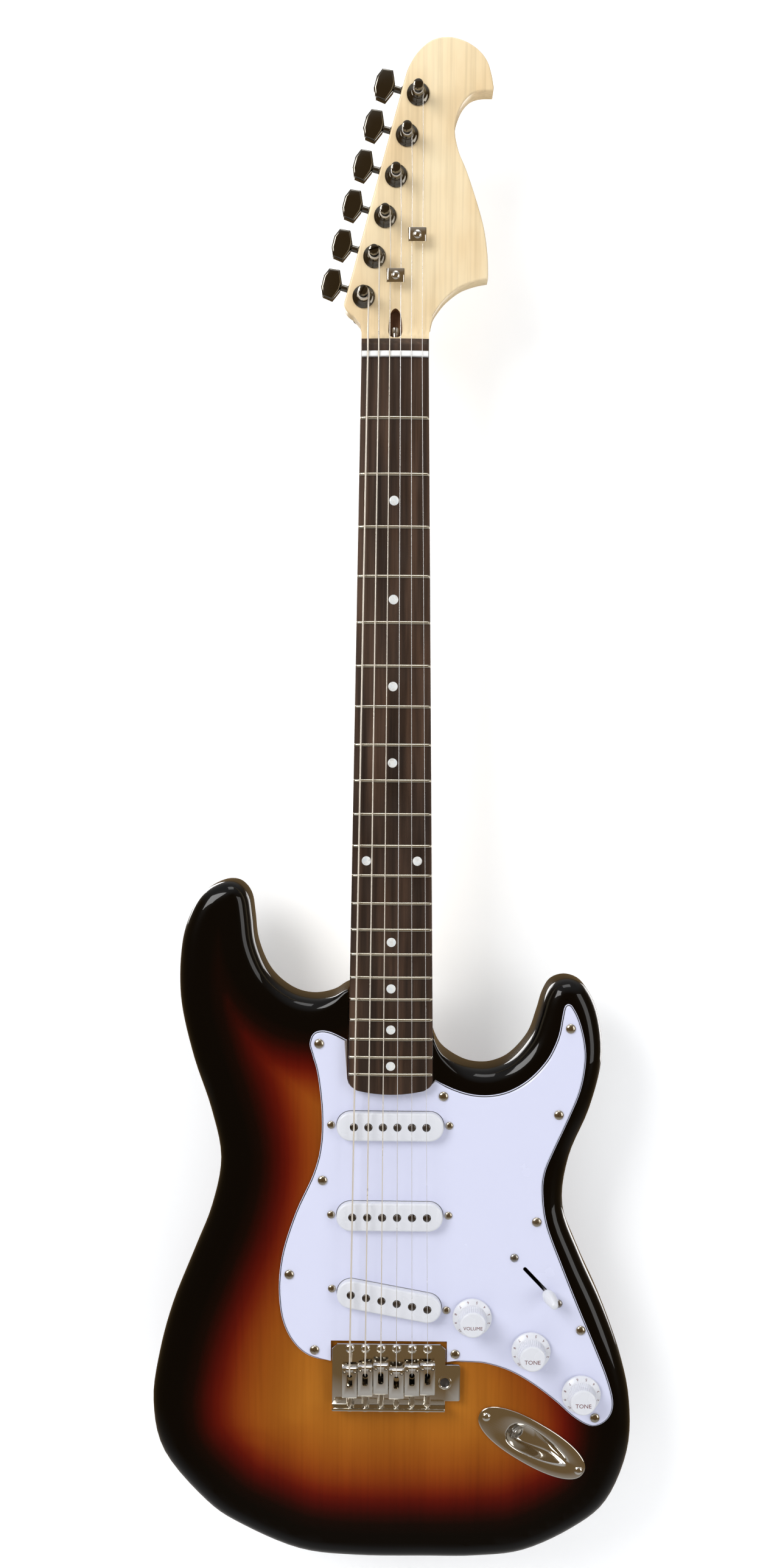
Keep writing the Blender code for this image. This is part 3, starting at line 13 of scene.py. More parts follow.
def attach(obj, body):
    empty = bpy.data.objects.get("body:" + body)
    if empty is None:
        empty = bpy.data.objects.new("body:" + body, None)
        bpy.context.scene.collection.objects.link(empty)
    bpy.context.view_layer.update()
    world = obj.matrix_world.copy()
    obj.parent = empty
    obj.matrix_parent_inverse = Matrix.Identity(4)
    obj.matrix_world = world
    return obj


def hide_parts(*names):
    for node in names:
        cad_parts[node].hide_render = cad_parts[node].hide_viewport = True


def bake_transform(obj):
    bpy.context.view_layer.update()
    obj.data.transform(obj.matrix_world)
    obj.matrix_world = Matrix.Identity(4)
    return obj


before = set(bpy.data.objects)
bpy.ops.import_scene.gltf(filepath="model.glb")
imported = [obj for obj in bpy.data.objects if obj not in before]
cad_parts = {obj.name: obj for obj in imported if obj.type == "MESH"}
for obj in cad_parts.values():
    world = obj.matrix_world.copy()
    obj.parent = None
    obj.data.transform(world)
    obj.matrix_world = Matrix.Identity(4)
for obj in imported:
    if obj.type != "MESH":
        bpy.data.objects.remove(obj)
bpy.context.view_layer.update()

# ---------------------------------------------------------------- studio
# A white room: a floor well below the guitar and a white wall just behind it, lit by large soft panels.
# The wall shows only from its front, and neither lights nor shades the guitar. Neither it nor the floor shows in
# reflections, which see a ramp from brown at eye level to grey overhead.
scene = bpy.context.scene
scene.view_settings.view_transform = "Standard"
camera = bpy.data.objects.new("camera", bpy.data.cameras.new("camera"))
camera.data.lens = 35.83
camera.data.sensor_width = 36.0
camera.data.shift_y = 0.0918
tilt, swing, lean = 0.1199983, 0.00819133, 0.00640661
seen_from = Matrix.Rotation(lean, 3, "Z") @ Matrix.Rotation(tilt, 3, "X") @ Matrix.Rotation(swing, 3, "Y")
seen_from = seen_from @ Matrix(((1, 0, 0), (0, 0, -1), (0, 1, 0)))
turned_camera = seen_from.transposed() @ Matrix.Diagonal((1, -1, -1))
camera.matrix_world = Matrix.Translation((0.008632, -1.017221, -0.236411)) @ turned_camera.to_4x4()
scene.collection.objects.link(camera)
scene.camera = camera


def plain_sheet(name, place, size, colour):
    """A flat square of even matt colour that belongs to the room."""
    bm = bmesh.new()
    bmesh.ops.create_grid(bm, x_segments=1, y_segments=1, size=size, matrix=place)
    mesh = bpy.data.meshes.new(name)
    bm.to_mesh(mesh)
    bm.free()
    sheet = bpy.data.objects.new(name, mesh)
    scene.collection.objects.link(sheet)
    mat = bpy.data.materials.new(name)
    mat.use_nodes = True
    mat.node_tree.nodes["Principled BSDF"].inputs["Base Color"].default_value = (*colour, 1)
    mat.node_tree.nodes["Principled BSDF"].inputs["Roughness"].default_value = 0.9
    mat.node_tree.nodes["Principled BSDF"].inputs["Specular IOR Level"].default_value = 0.0
    mesh.materials.append(mat)
    return sheet, mat.node_tree


floor, _ = plain_sheet("floor", Matrix.Translation((0, 0, -1.25)), 6.0, (0.80, 0.80, 0.80))
floor.visible_glossy = False
wall_place = Matrix.Translation((0, 0.075, -0.3)) @ Matrix.Rotation(math.radians(90), 4, "X")
wall, tree = plain_sheet("wall", wall_place, 3.0, (0.86, 0.86, 0.86))
tree.nodes["Principled BSDF"].inputs["Emission Color"].default_value = (1, 1, 1, 1)
tree.nodes["Principled BSDF"].inputs["Emission Strength"].default_value = 0.32
wall.visible_shadow = False
wall.visible_diffuse = False
wall.visible_glossy = False
facing = tree.nodes.new("ShaderNodeNewGeometry")
clear = tree.nodes.new("ShaderNodeBsdfTransparent")
either = tree.nodes.new("ShaderNodeMixShader")
tree.links.new(facing.outputs["Backfacing"], either.inputs[0])
tree.links.new(tree.nodes["Principled BSDF"].outputs[0], either.inputs[1])
tree.links.new(clear.outputs[0], either.inputs[2])
tree.links.new(either.outputs[0], tree.nodes["Material Output"].inputs["Surface"])

world = bpy.data.worlds.new("room")
scene.world = world
world.use_nodes = True
tree = world.node_tree
tree.nodes.clear()
path = tree.nodes.new("ShaderNodeLightPath")
place = tree.nodes.new("ShaderNodeTexCoord")
split = tree.nodes.new("ShaderNodeSeparateXYZ")
band = tree.nodes.new("ShaderNodeValToRGB")
band.color_ramp.elements[0].position = 0.42
band.color_ramp.elements[0].color = (0.150, 0.098, 0.046, 1)
band.color_ramp.elements[1].position = 0.8
band.color_ramp.elements[1].color = (0.42, 0.41, 0.40, 1)
mirrored = tree.nodes.new("ShaderNodeBackground")
plain = tree.nodes.new("ShaderNodeBackground")
plain.inputs["Color"].default_value = (1, 1, 1, 1)
plain.inputs["Strength"].default_value = 1.0
soft = tree.nodes.new("ShaderNodeBackground")
soft.inputs["Color"].default_value = (0.92, 0.95, 1.0, 1)
soft.inputs["Strength"].default_value = 0.44
dull = tree.nodes.new("ShaderNodeMixShader")
whole = tree.nodes.new("ShaderNodeMixShader")
height = tree.nodes.new("ShaderNodeMath")
height.operation = "ABSOLUTE"
out = tree.nodes.new("ShaderNodeOutputWorld")
tree.links.new(place.outputs["Generated"], split.inputs[0])
tree.links.new(split.outputs["Z"], height.inputs[0])
tree.links.new(height.outputs[0], band.inputs[0])
tree.links.new(band.outputs[0], mirrored.inputs["Color"])
tree.links.new(path.outputs["Is Glossy Ray"], dull.inputs[0])
tree.links.new(soft.outputs[0], dull.inputs[1])
tree.links.new(mirrored.outputs[0], dull.inputs[2])
tree.links.new(path.outputs["Is Camera Ray"], whole.inputs[0])
tree.links.new(dull.outputs[0], whole.inputs[1])
tree.links.new(plain.outputs[0], whole.inputs[2])
tree.links.new(whole.outputs[0], out.inputs[0])


def panel(name, at, target, width, height, power):
    """A large soft lamp that looks at a point."""
    lamp = bpy.data.lights.new(name, "AREA")
    lamp.shape = "RECTANGLE"
    lamp.size, lamp.size_y = width, height
    lamp.energy = power
    obj = bpy.data.objects.new(name, lamp)
    obj.rotation_mode = "QUATERNION"
    obj.location = at
    obj.rotation_quaternion = (Vector(target) - Vector(at)).to_track_quat("-Z", "Y")
    scene.collection.objects.link(obj)
    return obj


MIDDLE = (0, 0, -0.4)
panel("key_panel", (-1.5, -1.7, 0.9), MIDDLE, 1.3, 1.3, 42)
panel("fill_panel", (1.9, -1.5, -0.2), MIDDLE, 1.0, 1.8, 15)
panel("top_panel", (0.1, -0.5, 1.9), MIDDLE, 1.2, 0.8, 10)
panel("back_panel_left", (-1.3, 2.0, 0.4), MIDDLE, 1.2, 1.2, 30)
panel("back_panel_right", (1.5, 1.7, -0.3), MIDDLE, 1.0, 1.4, 17)

# ---------------------------------------------------------------- body
# Solid alder, cut to its outline with a rounded rim, routed for neck, pickups, controls, jack and tremolo.
# It is stained in a three-colour burst, black at the rim, and buried in polished clear lacquer.
SCALE = 648.0
DEPTH = 44.5
RIM = 12.0
RIM_STEPS = 8
BODY_POINTS = [(-29, 247.5), (-38.7, 242.2), (-51.5, 240.3), (-64, 242.8), (-75.5, 250.3), (-84, 261),
               (-90.3, 277.7), (-92.3, 295), (-94.4, 308), (-100, 315.8), (-107.5, 318.3), (-116.5, 316),
               (-125.8, 309.5), (-133, 297.5), (-138.6, 280.4), (-140.9, 256), (-139.3, 231.2), (-131.6, 198.1),
               (-120.8, 164.9), (-114.4, 131.3), (-120.8, 97.4), (-134.3, 63.1), (-148, 28.6), (-157.5, -6.2),
               (-162.2, -41.2), (-155, -77), (-126.2, -112.8), (-100.9, -130.4), (-61.5, -147.4), (-22, -151.9),
               (26, -152), (61, -151.4), (94.2, -146.8), (127.6, -130.4), (151, -109.8), (164.6, -74.3),
               (165.3, -38), (157.6, -3), (144.8, 31.4), (129.2, 65.6), (116.9, 99.5), (120.3, 133.4),
               (133.5, 167), (141, 200.4), (138.3, 229), (129.8, 248.5), (119, 254.6), (108.2, 252.0),
               (102.3, 243), (98.4, 229.7), (92.8, 214), (81.4, 200.4), (69.8, 194.4), (58.2, 193.4),
               (46.5, 196.3), (34.8, 203.4), (29.2, 213), (27.2, 222), (26.6, 235), (17, 247.3), (0, 248.6),
               (-17, 248.6)]


def zb(height):
    """Height in the frame of a height over the bridge line."""
    return height - SCALE


def smooth_line(points, steps=6):
    """Catmull-Rom curve through open points."""
    line = []
    for i in range(len(points) - 1):
        near = [points[max(i - 1, 0)], points[i], points[i + 1], points[min(i + 2, len(points) - 1)]]
        for k in range(steps):
            t = k / steps
            w = (-t + 2 * t * t - t ** 3, 2 - 5 * t * t + 3 * t ** 3, t + 4 * t * t - 3 * t ** 3, -t * t + t ** 3)
            line.append(tuple(0.5 * sum(a * p[axis] for a, p in zip(w, near)) for axis in range(len(points[0]))))
    return line + [tuple(points[-1])]


def smooth_loop(points, steps=6):
    """Catmull-Rom curve through points that close on themselves."""
    line = smooth_line([points[-1], *points, points[0], points[1]], steps)
    return line[steps:-steps - 1]


def signed_area(outline):
    return 0.5 * sum(a[0] * b[1] - b[0] * a[1] for a, b in zip(outline, outline[1:] + outline[:1]))


def inset(outline, amounts):
    """Moves each outline point inward, square to the outline, by one amount or by its own."""
    turn = 1.0 if signed_area(outline) > 0 else -1.0
    moved = []
    for i, here in enumerate(outline):
        before, after = Vector(outline[i - 1]), Vector(outline[(i + 1) % len(outline)])
        ahead = (after - before).normalized()
        amount = amounts[i] if isinstance(amounts, list) else amounts
        moved.append(tuple(Vector(here) + Vector((-ahead.y, ahead.x)) * turn * amount))
    return moved


def in_front_plane(outline, y):
    return [(x, y, z) for x, z in outline]


def pulled(rings, caps=True):
    """Draws the first ring of points out through all the others, one extrusion each."""
    bm = bmesh.new()
    verts = [bm.verts.new(p) for p in rings[0]]
    bm.faces.new(verts)
    first = bm.faces[:]
    edges = [bm.edges.get((verts[i - 1], verts[i])) for i in range(len(verts))]
    for ring in rings[1:]:
        grown = bmesh.ops.extrude_edge_only(bm, edges=edges)["geom"]
        new = {g for g in grown if isinstance(g, bmesh.types.BMVert)}
        verts = [next(e.other_vert(v) for e in v.link_edges if e.other_vert(v) in new) for v in verts]
        for v, p in zip(verts, ring):
            v.co = p
        edges = [bm.edges.get((verts[i - 1], verts[i])) for i in range(len(verts))]
    if caps:
        bm.faces.new(verts)
    else:
        bmesh.ops.delete(bm, geom=first, context="FACES_ONLY")
    bmesh.ops.recalc_face_normals(bm, faces=bm.faces)
    return bm


def drawn_out(outline, move):
    """A flat face with these corners, extruded by a move."""
    bm = bmesh.new()
    face = bm.faces.new([bm.verts.new(p) for p in outline])
    grown = bmesh.ops.extrude_face_region(bm, geom=[face])["geom"]
    bmesh.ops.translate(bm, verts=[g for g in grown if isinstance(g, bmesh.types.BMVert)], vec=move)
    bmesh.ops.recalc_face_normals(bm, faces=bm.faces)
    return bm


def slab(outline, y0, y1):
    """A flat sheet cut to an outline in the front plane, from one depth to another."""
    return drawn_out(in_front_plane(outline, y0), (0, y1 - y0, 0))


def painted(bm, slot):
    """Gives the whole shape one of its piece's finishes, by number."""
    for face in bm.faces:
        face.material_index = slot
    return bm


def block(x0, x1, y0, y1, z0, z1):
    bm = bmesh.new()
    bmesh.ops.create_cube(bm, size=1.0)
    bmesh.ops.scale(bm, verts=bm.verts, vec=(x1 - x0, y1 - y0, z1 - z0))
    bmesh.ops.translate(bm, verts=bm.verts, vec=((x0 + x1) / 2, (y0 + y1) / 2, (z0 + z1) / 2))
    return bm


def joined(*parts):
    """Several bmeshes as one; the parts are used up."""
    whole = bmesh.new()
    for part in parts:
        carrier = bpy.data.meshes.new("carrier")
        part.to_mesh(carrier)
        part.free()
        whole.from_mesh(carrier)
        bpy.data.meshes.remove(carrier)
    return whole


def rounded(bm, radius, segments=3, where=None, sharper_than=30.0):
    """Bevels the sharp edges, or those of them whose middle passes a test."""
    chosen = []
    for edge in bm.edges:
        if len(edge.link_faces) != 2 or edge.calc_face_angle(0.0) < math.radians(sharper_than):
            continue
        middle = (edge.verts[0].co + edge.verts[1].co) / 2
        if where is None or where(middle):
            chosen.append(edge)
    bmesh.ops.bevel(bm, geom=chosen, offset=radius, offset_type="OFFSET", segments=segments, profile=0.5,
                    affect="EDGES", material=-1, clamp_overlap=True, loop_slide=True)
    return bm


def towards(point, axis):
    """Places local Z along an axis at a point."""
    return Matrix.Translation(point) @ Vector(axis).to_track_quat("Z", "Y").to_matrix().to_4x4()


def turned(profile, point, axis=(0, -1, 0), steps=32):
    """Spins a (radius, height) profile round an axis, like work in a lathe."""
    bm = bmesh.new()
    verts = [bm.verts.new((r, 0, h)) for r, h in profile]
    edges = [bm.edges.new(pair) for pair in zip(verts, verts[1:])]
    bmesh.ops.spin(bm, geom=verts + edges, cent=(0, 0, 0), axis=(0, 0, 1), angle=2 * math.pi, steps=steps,
                   use_merge=True)
    bmesh.ops.remove_doubles(bm, verts=bm.verts, dist=1e-4)
    bmesh.ops.dissolve_degenerate(bm, edges=bm.edges, dist=1e-5)
    bmesh.ops.recalc_face_normals(bm, faces=bm.faces)
    bm.transform(towards(point, axis))
    return bm


def bar(radius, start, end, steps=16):
    """A plain round rod between two points."""
    length = (Vector(end) - Vector(start)).length
    return turned([(0, 0), (radius, 0), (radius, length), (0, length)], start, Vector(end) - Vector(start), steps)


def as_mesh(name, bm):
    bmesh.ops.scale(bm, verts=bm.verts, vec=(0.001, 0.001, 0.001))
    mesh = bpy.data.meshes.new(name)
    bm.to_mesh(mesh)
    bm.free()
    return mesh


def carved(name, bm, *tools):
    """Cuts each tool out of a shape and gives the carved shape back as a bmesh in millimetres."""
    work = bpy.data.objects.new(name + "_work", as_mesh(name, bm))
    scene.collection.objects.link(work)
    cutters = []
    for tool in tools:
        bmesh.ops.recalc_face_normals(tool, faces=tool.faces)
        cutter = bpy.data.objects.new(name + "_tool", as_mesh(name + "_tool", tool))
        scene.collection.objects.link(cutter)
        cut = work.modifiers.new("cut", "BOOLEAN")
        cut.solver = "EXACT"
        cut.object = cutter
        cutters.append(cutter)
    bpy.context.view_layer.update()
    mesh = bpy.data.meshes.new_from_object(work.evaluated_get(bpy.context.evaluated_depsgraph_get()))
    result = bmesh.new()
    result.from_mesh(mesh)
    bmesh.ops.scale(result, verts=result.verts, vec=(1000, 1000, 1000))
    for obj in [work, *cutters]:
        bpy.data.objects.remove(obj)
    bpy.data.meshes.remove(mesh)
    return result


def fitted(name, bm, finishes, rides_on, stands_for=(), sharp=38.0):
    """Makes the finished piece: its mesh in metres, its finish, its body and the CAD nodes that it stands for."""
    mesh = as_mesh(name, bm)
    mesh.shade_smooth()
    mesh.set_sharp_from_angle(angle=math.radians(sharp))
    for finish in finishes if isinstance(finishes, list) else [finishes]:
        mesh.materials.append(finish)
    obj = bpy.data.objects.new(name, mesh)
    scene.collection.objects.link(obj)
    if rides_on:
        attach(obj, rides_on)
    if stands_for:
        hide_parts(*stands_for)
    return obj


def new_group(name, inputs, outputs):
    """An empty shader group with its sockets, and its input and output nodes."""
    group = bpy.data.node_groups.new(name, "ShaderNodeTree")
    for label, kind, value in inputs:
        socket = group.interface.new_socket(label, in_out="INPUT", socket_type=kind)
        if value is not None:
            socket.default_value = value
    for label, kind in outputs:
        group.interface.new_socket(label, in_out="OUTPUT", socket_type=kind)
    return group, group.nodes.new("NodeGroupInput"), group.nodes.new("NodeGroupOutput")


def noise_in(tree, coordinate, stretch, scale, detail=4.0, turn=(0.0, 0.0, 0.0)):
    """Noise over coordinates that are first turned and stretched."""
    mapping = tree.nodes.new("ShaderNodeMapping")
    mapping.inputs["Scale"].default_value = stretch
    mapping.inputs["Rotation"].default_value = turn
    noise = tree.nodes.new("ShaderNodeTexNoise")
    noise.inputs["Scale"].default_value = scale
    noise.inputs["Detail"].default_value = detail
    tree.links.new(coordinate, mapping.inputs["Vector"])
    tree.links.new(mapping.outputs[0], noise.inputs["Vector"])
    return noise.outputs["Fac"]


def ramp_of(tree, factor, stops):
    """A colour ramp with (position, sRGB 0..255 colour) stops."""
    node = tree.nodes.new("ShaderNodeValToRGB")
    elements = node.color_ramp.elements
    while len(elements) < len(stops):
        elements.new(0.5)
    for element, (position, colour) in zip(elements, stops):
        element.position = position
        element.color = (*from_srgb(*colour), 1)
    tree.links.new(factor, node.inputs["Fac"])
    return node.outputs["Color"]


def from_srgb(*colour):
    return tuple((c / 255 / 12.92) if c <= 10 else ((c / 255 + 0.055) / 1.055) ** 2.4 for c in colour)


def multiplied(tree, a, b, share=1.0):
    node = tree.nodes.new("ShaderNodeMix")
    node.data_type = "RGBA"
    node.blend_type = "MULTIPLY"
    node.inputs[0].default_value = share
    tree.links.new(a, node.inputs[6])
    tree.links.new(b, node.inputs[7])
    return node.outputs[2]


# Wood grain: long fibres along Z, broader figure, and fine dark pores; both outputs change over the surface.
WOOD_GRAIN, given, made = new_group("wood_grain", [("Vector", "NodeSocketVector", None),
                                                   ("Fibre", "NodeSocketFloat", 1.0),
                                                   ("Figure", "NodeSocketFloat", 1.0)],
                                    [("Shade", "NodeSocketColor"), ("Height", "NodeSocketFloat")])
fibre = noise_in(WOOD_GRAIN, given.outputs["Vector"], (260, 260, 7), 1.6, 5.0)
figure = noise_in(WOOD_GRAIN, given.outputs["Vector"], (30, 30, 3.5), 1.0, 3.0)
pores = noise_in(WOOD_GRAIN, given.outputs["Vector"], (900, 900, 26), 1.0, 2.0)
fibre_shade = ramp_of(WOOD_GRAIN, fibre, [(0.30, (196, 190, 178)), (0.55, (255, 255, 255))])
figure_shade = ramp_of(WOOD_GRAIN, figure, [(0.30, (205, 196, 184)), (0.62, (255, 255, 255))])
first = WOOD_GRAIN.nodes.new("ShaderNodeMix")
first.data_type, first.blend_type = "RGBA", "MULTIPLY"
second = WOOD_GRAIN.nodes.new("ShaderNodeMix")
second.data_type, second.blend_type = "RGBA", "MULTIPLY"
first.inputs[6].default_value = (1, 1, 1, 1)
WOOD_GRAIN.links.new(given.outputs["Fibre"], first.inputs[0])
WOOD_GRAIN.links.new(fibre_shade, first.inputs[7])
WOOD_GRAIN.links.new(given.outputs["Figure"], second.inputs[0])
WOOD_GRAIN.links.new(first.outputs[2], second.inputs[6])
WOOD_GRAIN.links.new(figure_shade, second.inputs[7])
WOOD_GRAIN.links.new(second.outputs[2], made.inputs["Shade"])
WOOD_GRAIN.links.new(pores, made.inputs["Height"])

# Handling: faint smears that vary the roughness, and hairlines that a finish with relief cuts into its surface.
HANDLING, given, made = new_group("handling", [("Vector", "NodeSocketVector", None),
                                               ("Clean", "NodeSocketFloat", 0.1),
                                               ("Worn", "NodeSocketFloat", 0.2)],
                                  [("Roughness", "NodeSocketFloat"), ("Height", "NodeSocketFloat")])
smears = noise_in(HANDLING, given.outputs["Vector"], (1, 1, 1), 45.0, 5.0)
hairs = noise_in(HANDLING, given.outputs["Vector"], (1500, 90, 90), 1.0, 2.0, (0.3, 0.5, 0.2))
mixed = HANDLING.nodes.new("ShaderNodeMapRange")
mixed.inputs["From Min"].default_value = 0.35
mixed.inputs["From Max"].default_value = 0.75
HANDLING.links.new(smears, mixed.inputs["Value"])
HANDLING.links.new(given.outputs["Clean"], mixed.inputs["To Min"])
HANDLING.links.new(given.outputs["Worn"], mixed.inputs["To Max"])
HANDLING.links.new(mixed.outputs["Result"], made.inputs["Roughness"])
HANDLING.links.new(hairs, made.inputs["Height"])


def finish_of(name, colour, clean, worn, metallic=0.0, bump=0.02, coat=0.0, coat_roughness=0.03, ior=1.5):
    """A material with the handling group on its roughness and bump; colour is sRGB or is linked later."""
    mat = bpy.data.materials.new(name)
    mat.use_nodes = True
    tree = mat.node_tree
    shader = tree.nodes["Principled BSDF"]
    shader.inputs["Base Color"].default_value = (*from_srgb(*colour), 1)
    shader.inputs["Metallic"].default_value = metallic
    shader.inputs["Coat Weight"].default_value = coat
    shader.inputs["Coat Roughness"].default_value = coat_roughness
    shader.inputs["IOR"].default_value = ior
    place = tree.nodes.new("ShaderNodeTexCoord")
    handling = tree.nodes.new("ShaderNodeGroup")
    handling.node_tree = HANDLING
    handling.inputs["Clean"].default_value = clean
    handling.inputs["Worn"].default_value = worn
    tree.links.new(place.outputs["Object"], handling.inputs["Vector"])
    tree.links.new(handling.outputs["Roughness"], shader.inputs["Roughness"])
    if bump:
        relief = tree.nodes.new("ShaderNodeBump")
        relief.inputs["Strength"].default_value = bump
        relief.inputs["Distance"].default_value = 0.0002
        tree.links.new(handling.outputs["Height"], relief.inputs["Height"])
        tree.links.new(relief.outputs["Normal"], shader.inputs["Normal"])
    return mat, tree, shader, place.outputs["Object"]


def grained(tree, shader, coordinate, base, fibre, figure, bump=0.0):
    """Lays the wood grain over a base colour, and its pores into the surface."""
    grain = tree.nodes.new("ShaderNodeGroup")
    grain.node_tree = WOOD_GRAIN
    grain.inputs["Fibre"].default_value = fibre
    grain.inputs["Figure"].default_value = figure
    tree.links.new(coordinate, grain.inputs["Vector"])
    tree.links.new(multiplied(tree, base, grain.outputs["Shade"]), shader.inputs["Base Color"])
    if bump:
        relief = tree.nodes.new("ShaderNodeBump")
        relief.inputs["Strength"].default_value = bump
        relief.inputs["Distance"].default_value = 0.0003
        tree.links.new(grain.outputs["Height"], relief.inputs["Height"])
        tree.links.new(relief.outputs["Normal"], shader.inputs["Normal"])


BURST_REACH = 120.0
BURST = [(0, (1, 0, 0)), (20, (2, 0, 0)), (28, (17, 1, 0)), (34, (44, 2, 0)), (40, (70, 4, 1)), (46, (92, 13, 2)),
         (52, (114, 32, 5)), (60, (134, 56, 11)), (72, (152, 78, 18)), (92, (170, 100, 28)), (112, (178, 110, 34))]
SUNBURST, tree, shader, here = finish_of("sunburst_lacquer", (120, 50, 10), 0.28, 0.34, bump=0.0, coat=1.0,
                                         coat_roughness=0.02, ior=1.3)
shader.inputs["Coat IOR"].default_value = 1.36
shader.inputs["Specular IOR Level"].default_value = 0.1
rim_distance = tree.nodes.new("ShaderNodeAttribute")
rim_distance.attribute_name = "rim_distance"
burst = ramp_of(tree, rim_distance.outputs["Fac"], [(at / BURST_REACH, colour) for at, colour in BURST])
grained(tree, shader, here, burst, 0.25, 0.55)
BARE_WOOD, tree, shader, here = finish_of("routed_wood", (120, 84, 48), 0.6, 0.75, bump=0.0)
grained(tree, shader, here, ramp_of(tree, noise_in(tree, here, (1, 1, 1), 30.0),
                                    [(0.3, (118, 82, 48)), (0.7, (142, 104, 62))]), 1.0, 0.8, 0.3)


def stadium(centre, angle, length, width, arc=8, end_radius=None):
    """Long outline with round ends, or round corners of a given radius, turned in the front plane."""
    r = end_radius or width / 2
    points = []
    for quarter, (sx, sy) in enumerate(((1, 1), (-1, 1), (-1, -1), (1, -1))):
        for k in range(arc + 1):
            a = math.pi / 2 * (quarter + k / arc)
            points.append(on_plan(centre, angle, sx * (length / 2 - r) + r * math.cos(a),
                                  sy * (width / 2 - r) + r * math.sin(a)))
    return [p for i, p in enumerate(points) if (Vector(p) - Vector(points[i - 1])).length > 0.01]


def on_plan(centre, angle, along, across):
    """Point of a turned part: along its length, then across it, from a centre given as (x, zb)."""
    a = math.radians(angle)
    return (centre[0] + along * math.cos(a) - across * math.sin(a),
            zb(centre[1]) + along * math.sin(a) + across * math.cos(a))


def bend_radius(outline, i):
    """Radius through a point and its neighbours, without limit where the outline is hollow."""
    a, b, c = (Vector(outline[j % len(outline)]) for j in (i - 6, i, i + 6))
    cross = ((b - a).x * (c - b).y - (b - a).y * (c - b).x) * (1.0 if signed_area(outline) > 0 else -1.0)
    return math.inf if cross < 1e-6 else (b - a).length * (c - b).length * (c - a).length / (2 * cross)


def rim_radius(point, bend):
    """The rim is nearly square beside the neck, and tighter where the outline turns sharply."""
    x, height = point
    t = min(max((52.0 - abs(x)) / 20.0, 0.0), 1.0) if height > 180 else 0.0
    return min(RIM * (1 - 0.85 * t * t * (3 - 2 * t)), 0.8 * bend)


outline = smooth_loop(BODY_POINTS, 5)
radii = [rim_radius(p, bend_radius(outline, i)) for i, p in enumerate(outline)]
for _ in range(12):
    radii = [(radii[i - 1] + 2 * r + radii[(i + 1) % len(radii)]) / 4 for i, r in enumerate(radii)]
outline = [(x, zb(h)) for x, h in outline]
rings = []
for face, sign in ((0.0, 1.0), (DEPTH, -1.0)):
    side = []
    for k in range(RIM_STEPS + 1):
        a = math.pi / 2 * k / RIM_STEPS
        loop = inset(outline, [r * (1 - math.sin(a)) for r in radii])
        side.append([(x, face + sign * r * (1 - math.cos(a)), z) for (x, z), r in zip(loop, radii)])
    rings += side if sign > 0 else side[::-1]
bm = pulled(rings)
GRID = 6.0
for axis, low, high in (((1, 0, 0), -162, 162), ((0, 0, 1), -798, -330)):
    for step in range(int((high - low) / GRID) + 1):
        flat = [f for f in bm.faces if abs(f.normal.y) > 0.999 and len(f.verts) > 3]
        around = {e for f in flat for e in f.edges}
        corners = {v for f in flat for v in f.verts}
        bmesh.ops.bisect_plane(bm, geom=[*corners, *around, *flat], dist=1e-4,
                               plane_co=Vector(axis) * (low + GRID * step), plane_no=axis)

NECK_END = zb(179.3)
END_STEPS = ((0.0, 5.5, 0.9), (1.6, 2.6, 1.0), (4.5, 0.9, 0.75), (9.0, 0.0, 0.0))


def neck_half(z):
    """Half the neck's width, growing evenly from nut to heel."""
    return 21.1 + 7.1 * z / NECK_END


def heel_outline(grow, top):
    """Plan of the neck's bowed end, grown by a clearance, from one top corner round to the other."""
    end = neck_half(NECK_END + 9.0)
    right = [(end + grow, top), (end + grow, NECK_END + 9.0)]
    for rise, narrower, bow in END_STEPS[-2::-1]:
        right.append((end - narrower + grow, NECK_END + rise + 2.8 * bow - grow))
    for share in (0.68, 0.35):
        right.append(((end - 5.5) * share, NECK_END + 2.8 * 0.9 * share ** 2 - grow))
    return right + [(0.0, NECK_END - grow)] + [(-x, z) for x, z in right[::-1]]


PICKUPS = (("neck", 157.0, 0.0), ("middle", 95.5, 0.0), ("bridge", 37.0, -10.6))
CONTROLS = [(43, 42), (43, 12), (68, 7), (96, -17), (112, -29), (121, -38), (133, -45), (141, -40.5), (146, -31),
            (143, -17), (124, 12), (124, 32), (101, 74), (86, 80), (71, 63)]
SLOT = [(-37, zb(-1)), (-37, zb(-35.5)), (37.4, zb(-35.5)), (37.4, zb(-32.5)), (44, zb(-32.5)), (44, zb(-9)),
        (37.4, zb(-9)), (37.4, zb(-1))]
JACK_CENTRE, JACK_ANGLE = (98.4, -64.8), -30.8
tools = [slab(heel_outline(0.35, zb(262)), -5, 15.9)]
tools += [slab(stadium((0, h), angle, 86.6, 23.2, 4, 6.0), -5, 19.0) for _, h, angle in PICKUPS]
tools.append(slab([(x, zb(h)) for x, h in CONTROLS], -5, 36.0))
tools.append(slab(SLOT, -5, DEPTH + 5))
tools.append(slab(stadium((0, 39.5), 90, 157, 70, 4, 8.0), 28.5, DEPTH + 5))
jack_hole = [on_plan(JACK_CENTRE, JACK_ANGLE, -1.0 + 32.5 * math.cos(k * math.pi / 12),
                     13.6 * math.sin(k * math.pi / 12)) for k in range(24)]
tools.append(slab(jack_hole, -5, 34))
tools.append(bar(3.5, (112, 22, zb(-58)), (121, 22, zb(-28)), 12))
bm = carved("body", bm, *tools)
bmesh.ops.triangulate(bm, faces=[f for f in bm.faces if len(f.verts) > 8])
for face in bm.faces:
    middle = face.calc_center_median()
    if min(abs(middle.y), abs(middle.y - DEPTH)) > 0.01:
        nearest = min((Vector(p) - Vector((middle.x, middle.z))).length for p in outline)
        face.material_index = 1 if nearest > RIM + 3 else 0
